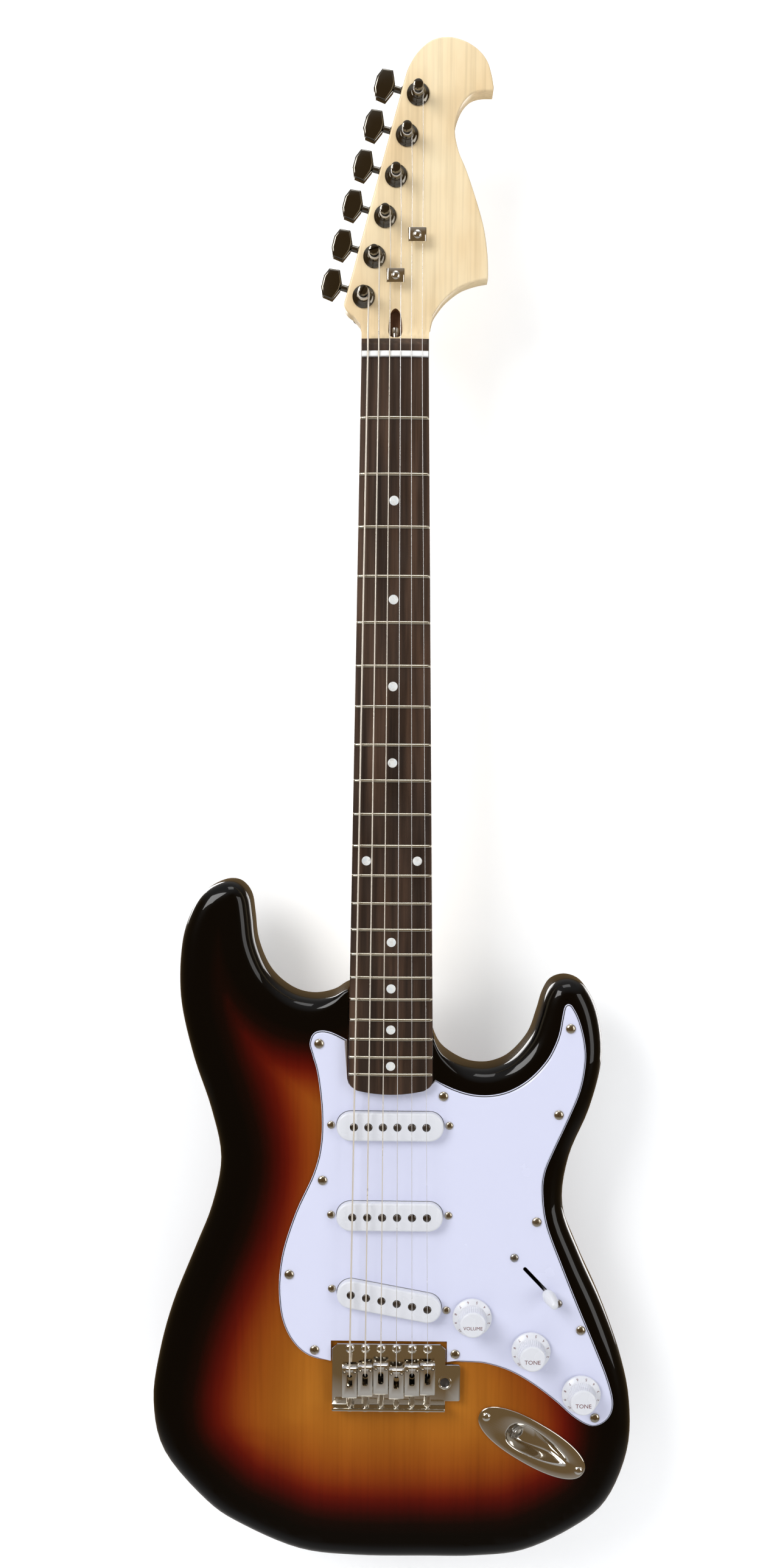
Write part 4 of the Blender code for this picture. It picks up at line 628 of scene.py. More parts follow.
body = fitted("body_wood", bm, [SUNBURST, BARE_WOOD], "guitar", ["body"], 32)
sides = list(zip(outline, outline[1:] + outline[:1]))
shading = body.data.attributes.new("rim_distance", "FLOAT", "POINT")
distances = []
for v in body.data.vertices:
    spot = Vector((v.co.x, v.co.z)) * 1000
    best = 1e9
    for a, b in sides[::2]:
        if abs(a[0] - spot.x) + abs(a[1] - spot.y) > best + 20:
            continue
        best = min(best, (Vector(a) - spot).length, (Vector(b) - spot).length)
    distances.append(best / BURST_REACH)
shading.data.foreach_set("value", distances)

# ---------------------------------------------------------------- neck
# One piece of flat-sawn maple: a D-shaped back that squares up at the heel, and a flat headstock sawn to shape.
# It is finished in thin satin lacquer, and the steel truss rod ends in a scoop behind the nut.
BOARD_TOP, BOARD_UNDER, NECK_TOP = -9.5, -4.7, -4.4
HEAD_FACE, HEAD_BACK = -1.6, 12.7
HEAD_HALF, HEAD_START = 22.1, 22.3
RING = 41


def neck_ring(z, half, top, back, power, bow=0.0):
    """D-shaped section: flat on top and a super-ellipse behind."""
    ring = []
    for j in range(RING):
        a = math.pi * j / (RING - 1)
        c, s = math.cos(a), math.sin(a)
        x = -half * math.copysign(abs(c) ** (2 / power), c)
        ring.append((x, top + (back - top) * abs(s) ** (2 / power), z + bow * (x / half) ** 2))
    return ring


MAPLE, tree, shader, here = finish_of("maple_satin", (236, 212, 168), 0.30, 0.42, bump=0.0, coat=0.25,
                                      coat_roughness=0.25)
warmth = ramp_of(tree, noise_in(tree, here, (12, 12, 5.0), 2.2, 4.0),
                 [(0.34, (234, 206, 160)), (0.62, (248, 228, 188))])
grained(tree, shader, here, warmth, 0.30, 0.10, 0.05)
END_GRAIN, tree, shader, here = finish_of("maple_cut", (159, 115, 77), 0.55, 0.7, bump=0.0)
grained(tree, shader, here, ramp_of(tree, noise_in(tree, here, (1, 1, 1), 60.0),
                                    [(0.3, (140, 96, 60)), (0.7, (176, 132, 92))]), 1.0, 0.8, 0.4)
half_end = neck_half(NECK_END + 9.0)
stations = [(NECK_END + rise, half_end - narrower, NECK_TOP, 15.6, 14, 2.8 * bow) for rise, narrower, bow in END_STEPS]
edge = zb(251.0)
shape = [(0, 0.0, 14.0), (4, 0.15, 9.0), (8, 0.4, 6.0), (13, 0.85, 4.0), (18, 1.4, 3.0), (26, 1.9, 2.5), (34, 2.2, 2.3)]
stations += [(edge + rise, neck_half(edge + rise), NECK_TOP, 15.6 - depth, power, 0.0) for rise, depth, power in shape]
for k in range(1, 14):
    share = 1 - k / 13 * 0.96
    z = (edge + 34) * share
    stations.append((z, neck_half(z), NECK_TOP, 11.0 + 2.4 * share, 2.2, 0.0))
stations += [(4.0, 21.1, NECK_TOP, 11.2, 2.4, 0.0), (8.5, 21.1, NECK_TOP, 11.3, 2.6, 0.0),
             (12.6, 21.1, NECK_TOP, 11.5, 3.0, 0.0), (15.0, 21.15, NECK_TOP + 0.8, 11.7, 3.8, 0.0),
             (17.5, 21.3, NECK_TOP + 1.9, 12.0, 5.0, 0.0), (20.0, 21.7, NECK_TOP + 2.5, 12.4, 8.0, 0.0)]
rings = [neck_ring(*station) for station in stations]
square = []
for j in range(RING):
    a = math.pi * j / (RING - 1)
    c, s = math.cos(a), math.sin(a)
    reach = 1 / max(abs(c), abs(s), 1e-6)
    square.append((-HEAD_HALF * max(-1, min(1, c * reach)), HEAD_FACE + 14.3 * min(1, s * reach), HEAD_START))
bm = pulled([*rings, square])
bm.faces.ensure_lookup_table()
HEAD_SIDES = [[(23.2, 26.6), (25.9, 31.1), (31.5, 37.9), (40.4, 44.6), (49.5, 48.0), (57.6, 49.6)],
              [(57.7, 51.5), (57.2, 63.5), (54.7, 80), (49.5, 97.3), (43.3, 114.5), (38.3, 126), (36.0, 138.5),
               (38.8, 149.8), (44.0, 157.2), (50.5, 160.2), (59.3, 160.6)],
              [(59.7, 162.6), (58.3, 170), (55.6, 178), (50.2, 184.6), (41.6, 189.8), (31.5, 192.1), (21.5, 190.2),
               (12.9, 183.4), (7.3, 174.8), (4.7, 167.5)],
              [(4.7, 167.5), (-30.8, 39.5)], [(-30.8, 39.5), (-32.3, 33.6), (-30.2, 29.6), (-26, 26.6)]]
head = [(HEAD_HALF - 0.05, HEAD_START - 1.2), (HEAD_HALF, HEAD_START)]
for k, points in enumerate(HEAD_SIDES):
    line = smooth_line(points, 1 if k == 3 else 5)
    head += line[1:] if k == 4 else (line[:-1] if k == 2 else line)
head += [(-HEAD_HALF, HEAD_START), (-HEAD_HALF + 0.05, HEAD_START - 1.2)]
plate = slab(head, HEAD_FACE, HEAD_BACK)
rounded(plate, 1.3, 3, lambda m: m.z > HEAD_START + 3 and min(abs(m.y - HEAD_FACE), abs(m.y - HEAD_BACK)) < 0.1, 60)
join = bpy.data.objects.new("join", as_mesh("join", bm))
head_part = bpy.data.objects.new("head_part", as_mesh("head_part", plate))
for obj in (join, head_part):
    scene.collection.objects.link(obj)
union = join.modifiers.new("head", "BOOLEAN")
union.operation, union.solver, union.object = "UNION", "EXACT", head_part
bpy.context.view_layer.update()
whole_neck = bpy.data.meshes.new_from_object(join.evaluated_get(bpy.context.evaluated_depsgraph_get()))
bm = bmesh.new()
bm.from_mesh(whole_neck)
bmesh.ops.scale(bm, verts=bm.verts, vec=(1000, 1000, 1000))
bpy.data.objects.remove(join)
bpy.data.objects.remove(head_part)
ALONG = Vector((math.sin(math.radians(15.4)), 0, math.cos(math.radians(15.4))))
OUT = Vector((-ALONG.z, 0, ALONG.x))


def post_place(k):
    """Post centre in the headstock's plane; the first is the thickest string's, nearest the nut."""
    return Vector((-19.9, 0, 38.4)) + ALONG * (24.9 * k)


SCOOP = smooth_loop([(-3.7, 14.5), (3.7, 14.5), (4.0, 24), (2.6, 29.4), (0, 31.5), (-2.6, 29.4), (-4.0, 24)], 3)
holes = joined(*[bar(5.2, (post_place(k).x, -6, post_place(k).z), (post_place(k).x, 17, post_place(k).z))
                 for k in range(6)])
bm = carved("neck", bm, slab(SCOOP, NECK_TOP - 4, 5.8), bar(2.7, (0, 2.6, NECK_END + 30), (0, 2.6, 16.0)), holes)
for face in bm.faces:
    middle = face.calc_center_median()
    if abs(middle.x) < 4.2 and 14 < middle.z < 32 and -3.0 < middle.y < 6:
        face.material_index = 1
fitted("neck_wood", bm, [MAPLE, END_GRAIN], "guitar", ["neck"], 34)
STEEL = finish_of("worked_steel", (176, 174, 170), 0.22, 0.42, 1.0, 0.05)[0]
ROD_END = turned([(0, 0), (2.2, 0), (2.4, 0.3), (2.4, 3.4), (2.1, 3.7), (1.3, 3.7), (1.3, 1.9), (0, 1.6)],
                 (0, 2.6, 17.0), (0, 0, 1), 24)
fitted("truss_rod_end", joined(ROD_END, bar(2.3, (0, 2.6, NECK_END + 33), (0, 2.6, 17.0), 16)), STEEL, "guitar",
       ["truss_rod"])

# ---------------------------------------------------------------- fingerboard, frets, dots and nut
# A rosewood board, cambered across to a 241 mm radius and glued to the neck, oiled rather than lacquered.
# Nickel frets are pressed into it, pearl dots are let in flush, and a white slotted nut sits in its groove.
CAMBER = 241.0


def camber(x):
    """How much lower the cambered board is, this far from its centre."""
    return CAMBER - math.sqrt(CAMBER ** 2 - x * x)


def board_ring(z, half, top=BOARD_TOP, bow=0.0):
    """Section of the board: a cambered top with its edges eased, and a flat underside."""
    least = BOARD_UNDER - 0.25
    ring = [(half, BOARD_UNDER, z + bow), (half, min(top + camber(half) + 0.6, least), z + bow)]
    for k in range(21):
        x = (half - 0.5) * (1 - k / 10)
        ring.append((x, min(top + camber(x), least), z + bow * (x / half) ** 2))
    return ring + [(-half, min(top + camber(half) + 0.6, least), z + bow), (-half, BOARD_UNDER, z + bow)]


ROSEWOOD, tree, shader, here = finish_of("rosewood_oiled", (80, 55, 38), 0.42, 0.62, bump=0.0)
streaks = noise_in(tree, here, (170, 170, 9), 1.0, 6.0)
heart = ramp_of(tree, streaks, [(0.28, (40, 27, 19)), (0.46, (60, 43, 31)), (0.60, (80, 58, 43)), (0.8, (98, 74, 56))])
grained(tree, shader, here, heart, 0.55, 0.7, 0.5)
shader.inputs["Specular IOR Level"].default_value = 0.3
rings = [board_ring(NECK_END + rise, half_end - narrower, bow=2.8 * bow) for rise, narrower, bow in END_STEPS]
rings += [board_ring(z, neck_half(z)) for z in (-400, -300, -200, -100)]
rings += [board_ring(0.0, 21.1), board_ring(8.0, 21.1), board_ring(9.0, 21.1, BOARD_TOP + 0.8),
          board_ring(10.2, 21.1, BOARD_TOP + 2.4), board_ring(12.4, 21.1, BOARD_TOP + 3.6)]
board = carved("board", pulled(rings), block(-40, 40, BOARD_TOP - 6, BOARD_TOP + 2.5, 0.2, 4.3))
fitted("fingerboard_wood", board, ROSEWOOD, "guitar", ["fingerboard"], 40)

NICKEL = finish_of("fret_nickel", (206, 200, 184), 0.16, 0.34, 1.0, 0.02)[0]
CROWN = [(-1.2, 0.3), (-1.1, -0.25), (-0.8, -0.7), (-0.4, -1.0), (0, -1.1), (0.4, -1.0), (0.8, -0.7), (1.1, -0.25),
         (1.2, 0.3)]
frets = []
for n in range(1, 22):
    z = -SCALE * (1 - 2 ** (-n / 12))
    half = neck_half(z) - 0.25
    rings = []
    for share, size in [(-1.0, 0.3), (-0.985, 0.75), (-0.955, 1.0), *[(k / 6 - 0.75, 1.0) for k in range(10)],
                        (0.955, 1.0), (0.985, 0.75), (1.0, 0.3)]:
        x = half * share
        rings.append([(x, BOARD_TOP + camber(x) + min(y * size, 0.3), z + dz * (0.5 + size / 2)) for dz, y in CROWN])
    frets.append(pulled(rings))
fitted("frets", joined(*frets), NICKEL, "guitar", (), 60)

PEARL, tree, shader, here = finish_of("pearl", (226, 224, 220), 0.2, 0.3, bump=0.0, coat=0.3)
shimmer = noise_in(tree, here, (1, 1, 1), 380.0, 3.0)
tree.links.new(ramp_of(tree, shimmer, [(0.3, (208, 206, 200)), (0.5, (236, 236, 232)), (0.7, (220, 226, 228))]),
               shader.inputs["Base Color"])
dots = []
for n, places in ((3, (0,)), (5, (0,)), (7, (0,)), (9, (0,)), (12, (-16.5, 16.5)), (15, (0,)), (17, (0,)), (19, (0,)),
                  (21, (0,))):
    z = -SCALE * (1 - (2 ** (-n / 12) + 2 ** (-(n - 1) / 12)) / 2)
    for x in places:
        dots.append(turned([(0, -1.0), (3.0, -1.0), (3.0, -0.01), (2.9, 0.05), (0, 0.07)],
                           (x, BOARD_TOP + camber(x), z), (x / CAMBER, -1, 0), 32))
fitted("pearl_dots", joined(*dots), PEARL, "guitar", ())

STRING_RADII = (0.55, 0.45, 0.33, 0.22, 0.18, 0.15)
NUT_PITCH, NUT_TOP = 6.76, BOARD_TOP - 2.4
NUT_WHITE = finish_of("nut_white", (240, 239, 236), 0.3, 0.42, bump=0.02)[0]
nut_half = 20.7
rings = []
for z, drop in ((0.5, 0.35), (0.8, 0.0), (2.6, 0.0), (3.5, 0.45), (4.0, 1.2)):
    top = [(nut_half * (1 - k / 8), NUT_TOP + drop + camber(nut_half * (1 - k / 8)), z) for k in range(17)]
    rings.append([(nut_half, -7.3, z), *top, (-nut_half, -7.3, z)])
slots = [bar(STRING_RADII[k] + 0.1, ((k - 2.5) * NUT_PITCH, NUT_TOP + camber((k - 2.5) * NUT_PITCH) - 0.1, -2),
             ((k - 2.5) * NUT_PITCH, BOARD_TOP - 1.9 + camber((k - 2.5) * NUT_PITCH), 7), 12) for k in range(6)]
fitted("nut_slotted", carved("nut", pulled(rings), joined(*slots)), NUT_WHITE, "guitar", ["nut"], 35)

# ---------------------------------------------------------------- tuners
# Six die-cast machine heads in a row, plated in dark chrome: a case and lug screw behind the headstock, a washer
# and bushing in front, a post that winds the string, and a six-sided button on the worm's shaft.
DARK_CHROME = finish_of("dark_chrome", (118, 114, 106), 0.08, 0.20, 1.0, 0.02)[0]
CASE_FRONT, WORM_DEPTH = 13.0, 19.8


def tuner_frame(k):
    """Matrix from a tuner's own directions (out, depth, along) to the guitar's, at its post."""
    place = post_place(k)
    turn = Matrix((OUT, Vector((0, 1, 0)), ALONG)).transposed().to_4x4()
    return Matrix.Translation(place) @ turn


cross_cut = [(-0.35, 2.0), (0.35, 2.0), (0.35, 0.35), (2.0, 0.35), (2.0, -0.35), (0.35, -0.35), (0.35, -2.0),
             (-0.35, -2.0), (-0.35, -0.35), (-2.0, -0.35), (-2.0, 0.35), (-0.35, 0.35)]
recess = slab([(x * 0.62, z * 0.62) for x, z in cross_cut], -3.0, -0.35)
recess.transform(Matrix.Rotation(math.radians(90), 4, "X").inverted())
recess.transform(Matrix.Rotation(math.radians(180), 4, "X"))
dome = turned([(0, -6.0), (0.8, -6.0), (1.4, -5.0), (1.4, 0), (3.0, 0), (3.3, 0.15), (3.25, 0.5), (2.7, 1.05),
               (1.8, 1.45), (0.9, 1.62), (0, 1.66)], (0, 0, 0), (0, 0, 1), 28)
RECESS_FLOOR = 0.75
deepest = min(v.co.z for v in recess.verts)
bmesh.ops.translate(recess, verts=recess.verts, vec=(0, 0, RECESS_FLOOR - deepest))
CROSS_HEAD = bpy.data.meshes.new("cross_head")
head_shape = carved("cross_head", dome, recess)
head_shape.to_mesh(CROSS_HEAD)
head_shape.free()


def cross_screw(point, axis, head_radius=3.3, turn=0.0):
    """A domed cross-head screw, seated with the underside of its head at a point."""
    bm = bmesh.new()
    bm.from_mesh(CROSS_HEAD)
    size = head_radius / 3.3
    bm.transform(towards(point, axis) @ Matrix.Rotation(turn, 4, "Z") @ Matrix.Diagonal((size, size, size, 1)))
    return bm


FRONT, REAR = (0, -1, 0), (0, 1, 0)
for k in range(6):
    label = str(k + 1)
    at = tuner_frame(k)
    spot = post_place(k)
    case = slab([(out, along) for out, along in ((-8.5, -4.6), (9.3, -4.6), (9.3, 11.6), (-8.5, 11.6))],
                CASE_FRONT, CASE_FRONT + 12.0)
    rounded(case, 2.6, 4, lambda m: m.y > CASE_FRONT + 2)
    lug = slab(stadium((0.4, SCALE - 7.0), 90, 7.0 + 6.0, 9.0, 6, 3.6), CASE_FRONT, CASE_FRONT + 1.6)
    rounded(lug, 0.35, 2)
    collar = turned([(2.4, 0), (3.6, 0), (3.6, 1.6), (3.2, 2.0), (2.4, 2.0)], (9.2, WORM_DEPTH, 7.0), (1, 0, 0), 24)
    cover = joined(case, lug, collar, cross_screw((0, CASE_FRONT + 1.6, -7.6), REAR, 2.4, k * 0.7))
    cover.transform(at)
    washer = turned([(3.1, -14.0), (5.0, -14.0), (5.0, 0), (7.0, 0), (7.05, 0.5), (6.7, 1.0), (5.6, 1.5), (4.7, 2.2),
                     (4.2, 3.0), (3.9, 3.2), (3.1, 3.2), (3.1, -14.0)], (spot.x, HEAD_FACE - 0.3, spot.z), FRONT, 40)
    fitted("tuner_case_" + label, joined(cover, washer), DARK_CHROME, "guitar", ["tuner_housing_" + label],
           40)
    post = turned([(0, -16.0), (2.6, -16.0), (2.6, 4.0), (3.9, 4.0), (3.9, 4.3), (3.2, 5.2), (2.7, 6.4), (2.5, 8.0),
                   (2.5, 11.4), (2.7, 12.2), (3.05, 13.0), (3.1, 13.6), (3.1, 15.6), (2.8, 16.2), (2.0, 16.5),
                   (0, 16.5)], (spot.x, HEAD_FACE, spot.z), FRONT, 32)
    slit = block(spot.x - 0.55, spot.x + 0.55, HEAD_FACE - 19, HEAD_FACE - 14.0, spot.z - 5, spot.z + 5)
    slit.transform(Matrix.Translation(spot) @ Matrix.Rotation(0.5 + k * 0.8, 4, "Y") @ Matrix.Translation(-spot))
    fitted("tuner_winder_" + label, carved("post", post, slit), DARK_CHROME, "tuner_post_" + label,
           ["tuner_post_" + label], 36)
    hexagon = [(17.6, 2.4), (20.8, 9.5), (27.6, 8.7), (29.8, 3.6),
               (29.8, -3.6), (27.6, -8.7), (20.8, -9.5), (17.6, -2.4)]
    button = slab([(out, 7.0 + along) for out, along in hexagon], WORM_DEPTH - 3.7, WORM_DEPTH + 3.7)
    rounded(button, 1.5, 4, lambda m: abs(abs(m.y - WORM_DEPTH) - 3.7) < 0.1)
    rounded(button, 0.6, 2, lambda m: abs(m.y - WORM_DEPTH) < 1.5, 25)
    shaft = turned([(0, 0), (2.0, 0), (2.0, 5.6), (2.6, 5.8), (3.0, 6.3), (3.0, 8.4), (2.6, 8.9), (2.0, 9.1),
                    (2.0, 13.0), (2.4, 13.6), (0, 13.6)], (4.2, WORM_DEPTH, 7.0), (1, 0, 0), 24)
    key = joined(button, shaft)
    key.transform(at)
    fitted("tuner_key_" + label, key, DARK_CHROME, "tuner_button_" + label, ["tuner_button_" + label],
           30)

# ---------------------------------------------------------------- string trees
# Two chromed winged brackets, stamped from sheet and each screwed to the headstock over a spacer.
# They press the four thinner strings down behind the nut.
CHROME = finish_of("chrome", (232, 229, 222), 0.045, 0.16, 1.0, 0.012)[0]
STRING_PITCH = 10.5
WIND_STEPS = 8


def string_x(k):
    return (k - 2.5) * STRING_PITCH


def at_nut(k, along=0.4):
    x = (k - 2.5) * NUT_PITCH
    return Vector((x, NUT_TOP + camber(x) - 0.3 - STRING_RADII[k], 0.5 + 3.5 * along))


def wind_radius(k):
    return (2.95 + STRING_RADII[k]) / math.cos(math.pi / WIND_STEPS)


def at_post(k):
    return Vector((post_place(k).x + wind_radius(k), HEAD_FACE - 9.5, post_place(k).z))


LOW_TREE, HIGH_TREE = 49.6, 73.9
for label, pair, z in (("low", (2, 3), LOW_TREE), ("high", (4, 5), HIGH_TREE)):
    middle = sum(at_nut(k).x + (at_post(k).x - at_nut(k).x) * (z - at_nut(k).z) / (at_post(k).z - at_nut(k).z)
                 for k in pair) / 2
    half = [(1.9, -7.5), (4.4, -7.5), (5.1, -7.25), (5.4, -6.7), (5.9, -6.9), (5.6, -7.9), (4.8, -8.5)]
    section = [(-x, y) for x, y in half] + [(x, y) for x, y in half[::-1]]
    bm = pulled([[(middle + x, y, z + rise) for x, y in section] for rise in (-4.2, 4.2)])
    rounded(bm, 0.3, 2)
    spacer = turned([(0, 0), (2.2, 0), (2.2, 5.5), (0, 5.5)], (middle, -1.9, z), FRONT, 24)
    wing = joined(bm, spacer, cross_screw((middle, -8.45, z), FRONT, 2.6, 0.4))
    fitted("tree_" + label, wing, CHROME, "guitar", ["string_tree_" + label], 40)

# ---------------------------------------------------------------- neck plate
# A chromed steel plate let on to the back of the body, with four long bolts through it into the heel.
bm = slab(stadium((0, 212.0), 90, 64.0, 51.0, 8, 4.0), DEPTH + 0.3, DEPTH + 2.3)
rounded(bm, 0.5, 3, lambda m: m.y > DEPTH + 2)
corners = [(sx, sz) for sx in (-19, 19) for sz in (-25.5, 25.5)]
bolts = [cross_screw((sx, DEPTH + 2.3, zb(212 + sz)), REAR, 4.2, sx * sz) for sx, sz in corners]
shanks = [bar(2.1, (sx, DEPTH - 39.5, zb(212 + sz)), (sx, DEPTH + 2.0, zb(212 + sz)), 12) for sx, sz in corners]
fitted("neck_plate_bolted", joined(bm, *bolts, *shanks), CHROME, "guitar", ["neck_plate"], 40)

# ---------------------------------------------------------------- pickguard
# Three-ply plastic, white over black over white, cut to shape with a bevelled edge that shows the black ply.
# It carries the pickups and controls, and eleven screws hold it to the body.
GUARD_BACK, GUARD_TOP = -0.3, -2.6
GUARD_TREBLE = [(29.6, 187.6), (35.2, 184.7), (44, 180.9), (53, 178.3), (62, 177.4), (71.2, 178.3), (80.2, 181.2),
                (89.2, 186.5), (97, 193.5), (103.8, 202), (108.2, 210.5), (111.3, 219.5), (113.3, 231.5),
                (114.7, 237.6), (117.4, 239.2), (120.3, 236.8), (124.6, 228), (128.3, 214), (129.2, 200),
                (126.1, 181.1), (118.5, 161.3), (109.4, 140.4), (103.6, 125), (102.6, 110), (105.8, 89),
                (116.2, 61.2), (127.6, 33), (140, 3.7), (148.9, -19), (152.7, -36), (148.8, -47), (139, -51.7),
                (127, -46), (112.9, -33.6), (97.5, -21.9), (82.2, -13.1), (66, -8), (53, -7), (39.8, -6.7)]
GUARD_BASS = [(-39.4, -6.5), (-47.1, -5.8), (-55.5, -2.7), (-63, 3.7), (-69.4, 14), (-73.4, 28), (-74.4, 48),
              (-71.5, 70), (-62.8, 97), (-51.2, 123), (-46.3, 143), (-45.7, 166), (-48.4, 190.5), (-51.8, 203.5),
              (-53.7, 211.5), (-51.3, 218.2), (-45.5, 220.3), (-38, 218.7), (-29.0, 214.1)]
GUARD_SCREWS = ((-47.4, 211.8), (118.7, 223.1), (111.9, 164.9), (35.2, 176.9), (-45.0, 119.0), (44.9, -1.1),
                (129.4, 16.5), (140.3, -45.2), (98.5, 91.6), (-67.4, 53.7), (-50.3, 1.1))
POTS = (("volume", 56.0, 25.4, "VOLUME"), ("tone_upper", 96.0, 2.2, "TONE"), ("tone_lower", 130.5, -27.9, "TONE"))
SWITCH_CENTRE, SWITCH_ANGLE = (98.9, 50.9), -46.5
HANGER_REACH, SWITCH_REACH = 39.3, 21.8
notch = [(39.3, -6.7), (39.3, 7.8), (-39.3, 7.8), (-39.3, -6.5)]
plan = smooth_line(GUARD_TREBLE, 5)[:-1] + notch + smooth_line(GUARD_BASS, 5)[1:]
plan = [(x, zb(h)) for x, h in plan] + heel_outline(0.7, 0)[2:-1][::-1]
plies = ((GUARD_BACK, 0.0), (-1.15, 0.0), (-1.45, 0.35), (-1.98, 0.95), (GUARD_TOP + 0.08, 1.62), (GUARD_TOP, 1.75))
square_cut = [Vector((x, zb(h))) for x, h in notch] + [Vector(p) for p in heel_outline(0.7, 0)[2:-1]]
share = [min(min((Vector(p) - q).length for q in square_cut) / 9.0, 1.0) for p in plan]
bm = pulled([in_front_plane(inset(plan, [amount * s for s in share]), y) for y, amount in plies])
PLASTIC_WHITE = finish_of("white_plastic", (222, 223, 228), 0.22, 0.34, bump=0.015)[0]
GUARD_WHITE = finish_of("pickguard_white", (218, 220, 241), 0.16, 0.30, bump=0.01)[0]
PLY_BLACK = finish_of("ply_black", (22, 22, 24), 0.3, 0.45, bump=0.0)[0]
MOULDED_BLACK = finish_of("moulded_black", (34, 33, 34), 0.42, 0.6, bump=0.04)[0]
openings = []
for _, h, angle in PICKUPS:
    openings.append(slab(stadium((0, h), angle, 72.0, 20.0, 10), GUARD_TOP - 4, 3))
    for side in (-1, 1):
        x, z = on_plan((0, h), angle, side * HANGER_REACH, 0)
        openings.append(bar(1.8, (x, GUARD_TOP - 4, z), (x, 3, z)))
for _, x, h, _ in POTS:
    openings.append(bar(4.2, (x, GUARD_TOP - 4, zb(h)), (x, 3, zb(h)), 24))
for side in (-1, 1):
    x, z = on_plan(SWITCH_CENTRE, SWITCH_ANGLE, side * SWITCH_REACH, 0)
    openings.append(bar(1.8, (x, GUARD_TOP - 4, z), (x, 3, z)))
openings.append(slab(stadium(SWITCH_CENTRE, SWITCH_ANGLE, 25.0, 2.6, 4, 1.2), GUARD_TOP - 4, 3))
bm = carved("guard", bm, joined(*openings))
for face in bm.faces:
    middle = face.calc_center_median()
    if -1.99 < middle.y < -1.44 and abs(face.normal.y) < 0.9:
        face.material_index = 1
fitted("pickguard_sheet", bm, [GUARD_WHITE, PLY_BLACK], "guitar", ["pickguard"], 20)
SCREW_STEEL = finish_of("screw_nickel", (196, 188, 172), 0.14, 0.30, 1.0, 0.02)[0]
screws = [cross_screw((x, GUARD_TOP, zb(h)), FRONT, 3.3, x * 0.37) for x, h in GUARD_SCREWS]
fitted("pickguard_screws", joined(*screws), SCREW_STEEL, "guitar", (), 40)

# ---------------------------------------------------------------- pickups
# Three single coils: a moulded white cover over a black bobbin wound with fine wire round six round magnets.
# Two sprung screws hang each from the pickguard; the bridge pickup stands at a slant.
COVER_TOP = GUARD_TOP - 6.2
PITCH_GROWTH = 3.74
MAGNET = finish_of("magnet_steel", (120, 114, 110), 0.2, 0.36, 1.0, 0.05)[0]
WINDING, tree, shader, here = finish_of("coil_wire", (96, 44, 20), 0.3, 0.5, 0.4, 0.0)
turns = tree.nodes.new("ShaderNodeTexWave")
turns.bands_direction = "Y"
turns.inputs["Scale"].default_value = 1600.0
tree.links.new(here, turns.inputs["Vector"])
tree.links.new(ramp_of(tree, turns.outputs["Fac"], [(0.0, (60, 24, 12)), (1.0, (140, 70, 34))]),
               shader.inputs["Base Color"])
for label, h, angle in PICKUPS:
    centre = (0, h)
    pitch = (NUT_PITCH + PITCH_GROWTH * (1 - h / SCALE)) / math.cos(math.radians(angle))
    poles = [on_plan(centre, angle, (k - 2.5) * pitch, 0) for k in range(6)]
    shell = slab(stadium(centre, angle, 71.2, 19.2, 12), COVER_TOP, 4.3)
    rounded(shell, 1.5, 5, lambda m: m.y < COVER_TOP + 0.1)
    hollow = slab(stadium(centre, angle, 68.6, 16.6, 12), COVER_TOP + 1.3, 6.0)
    bores = joined(*[bar(2.75, (x, COVER_TOP - 3, z), (x, COVER_TOP + 3, z), 28) for x, z in poles])
    fitted("pickup_cap_" + label, carved("cap", shell, hollow, bores), PLASTIC_WHITE, "guitar",
           ["pickup_cover_" + label], 40)
    flange = slab(stadium(centre, angle, 84.2, 17.2, 6, 5.0), 4.6, 6.8)
    rounded(flange, 0.3, 2)
    top_flange = slab(stadium(centre, angle, 66.0, 14.4, 8), COVER_TOP + 2.0, COVER_TOP + 3.4)
    wire = slab(stadium(centre, angle, 64.6, 13.0, 8), COVER_TOP + 3.4, 4.6)
    magnets = [turned([(0, 9.8), (2.35, 9.8), (2.5, 9.6), (2.5, -3.6), (2.35, -4.25), (1.9, -4.5), (0, -4.55)],
                      (x, COVER_TOP + 4.05, z), (0, 1, 0), 28) for x, z in poles]
    ends = [(side, *on_plan(centre, angle, side * HANGER_REACH, 0)) for side in (-1, 1)]
    hangers = [cross_screw((x, GUARD_TOP, z), FRONT, 2.7, side + h) for side, x, z in ends]
    hangers += [bar(1.3, (x, GUARD_TOP, z), (x, 8.0, z), 12) for _, x, z in ends]
    fitted("pickup_coil_wound_" + label,
           joined(flange, top_flange, painted(wire, 1), *[painted(magnet, 2) for magnet in magnets],
                  *[painted(hanger, 3) for hanger in hangers]),
           [MOULDED_BLACK, WINDING, MAGNET, SCREW_STEEL], "guitar", ["pickup_coil_" + label], 40)

# ---------------------------------------------------------------- pots and knobs
# Three rotary pots under the pickguard, each with a moulded knob pushed on to its shaft.
# A knob has a skirt printed with numbers and a finely ribbed cone to grip.
PRINT = finish_of("printed_legend", (116, 62, 60), 0.4, 0.5, bump=0.0)[0]
KNOB_RIBS = 44
RIB_PINCH, CONE_RADIUS, CONE_FOOT, CONE_SMOOTH_FROM = 0.955, 9.75, 4.2, 14


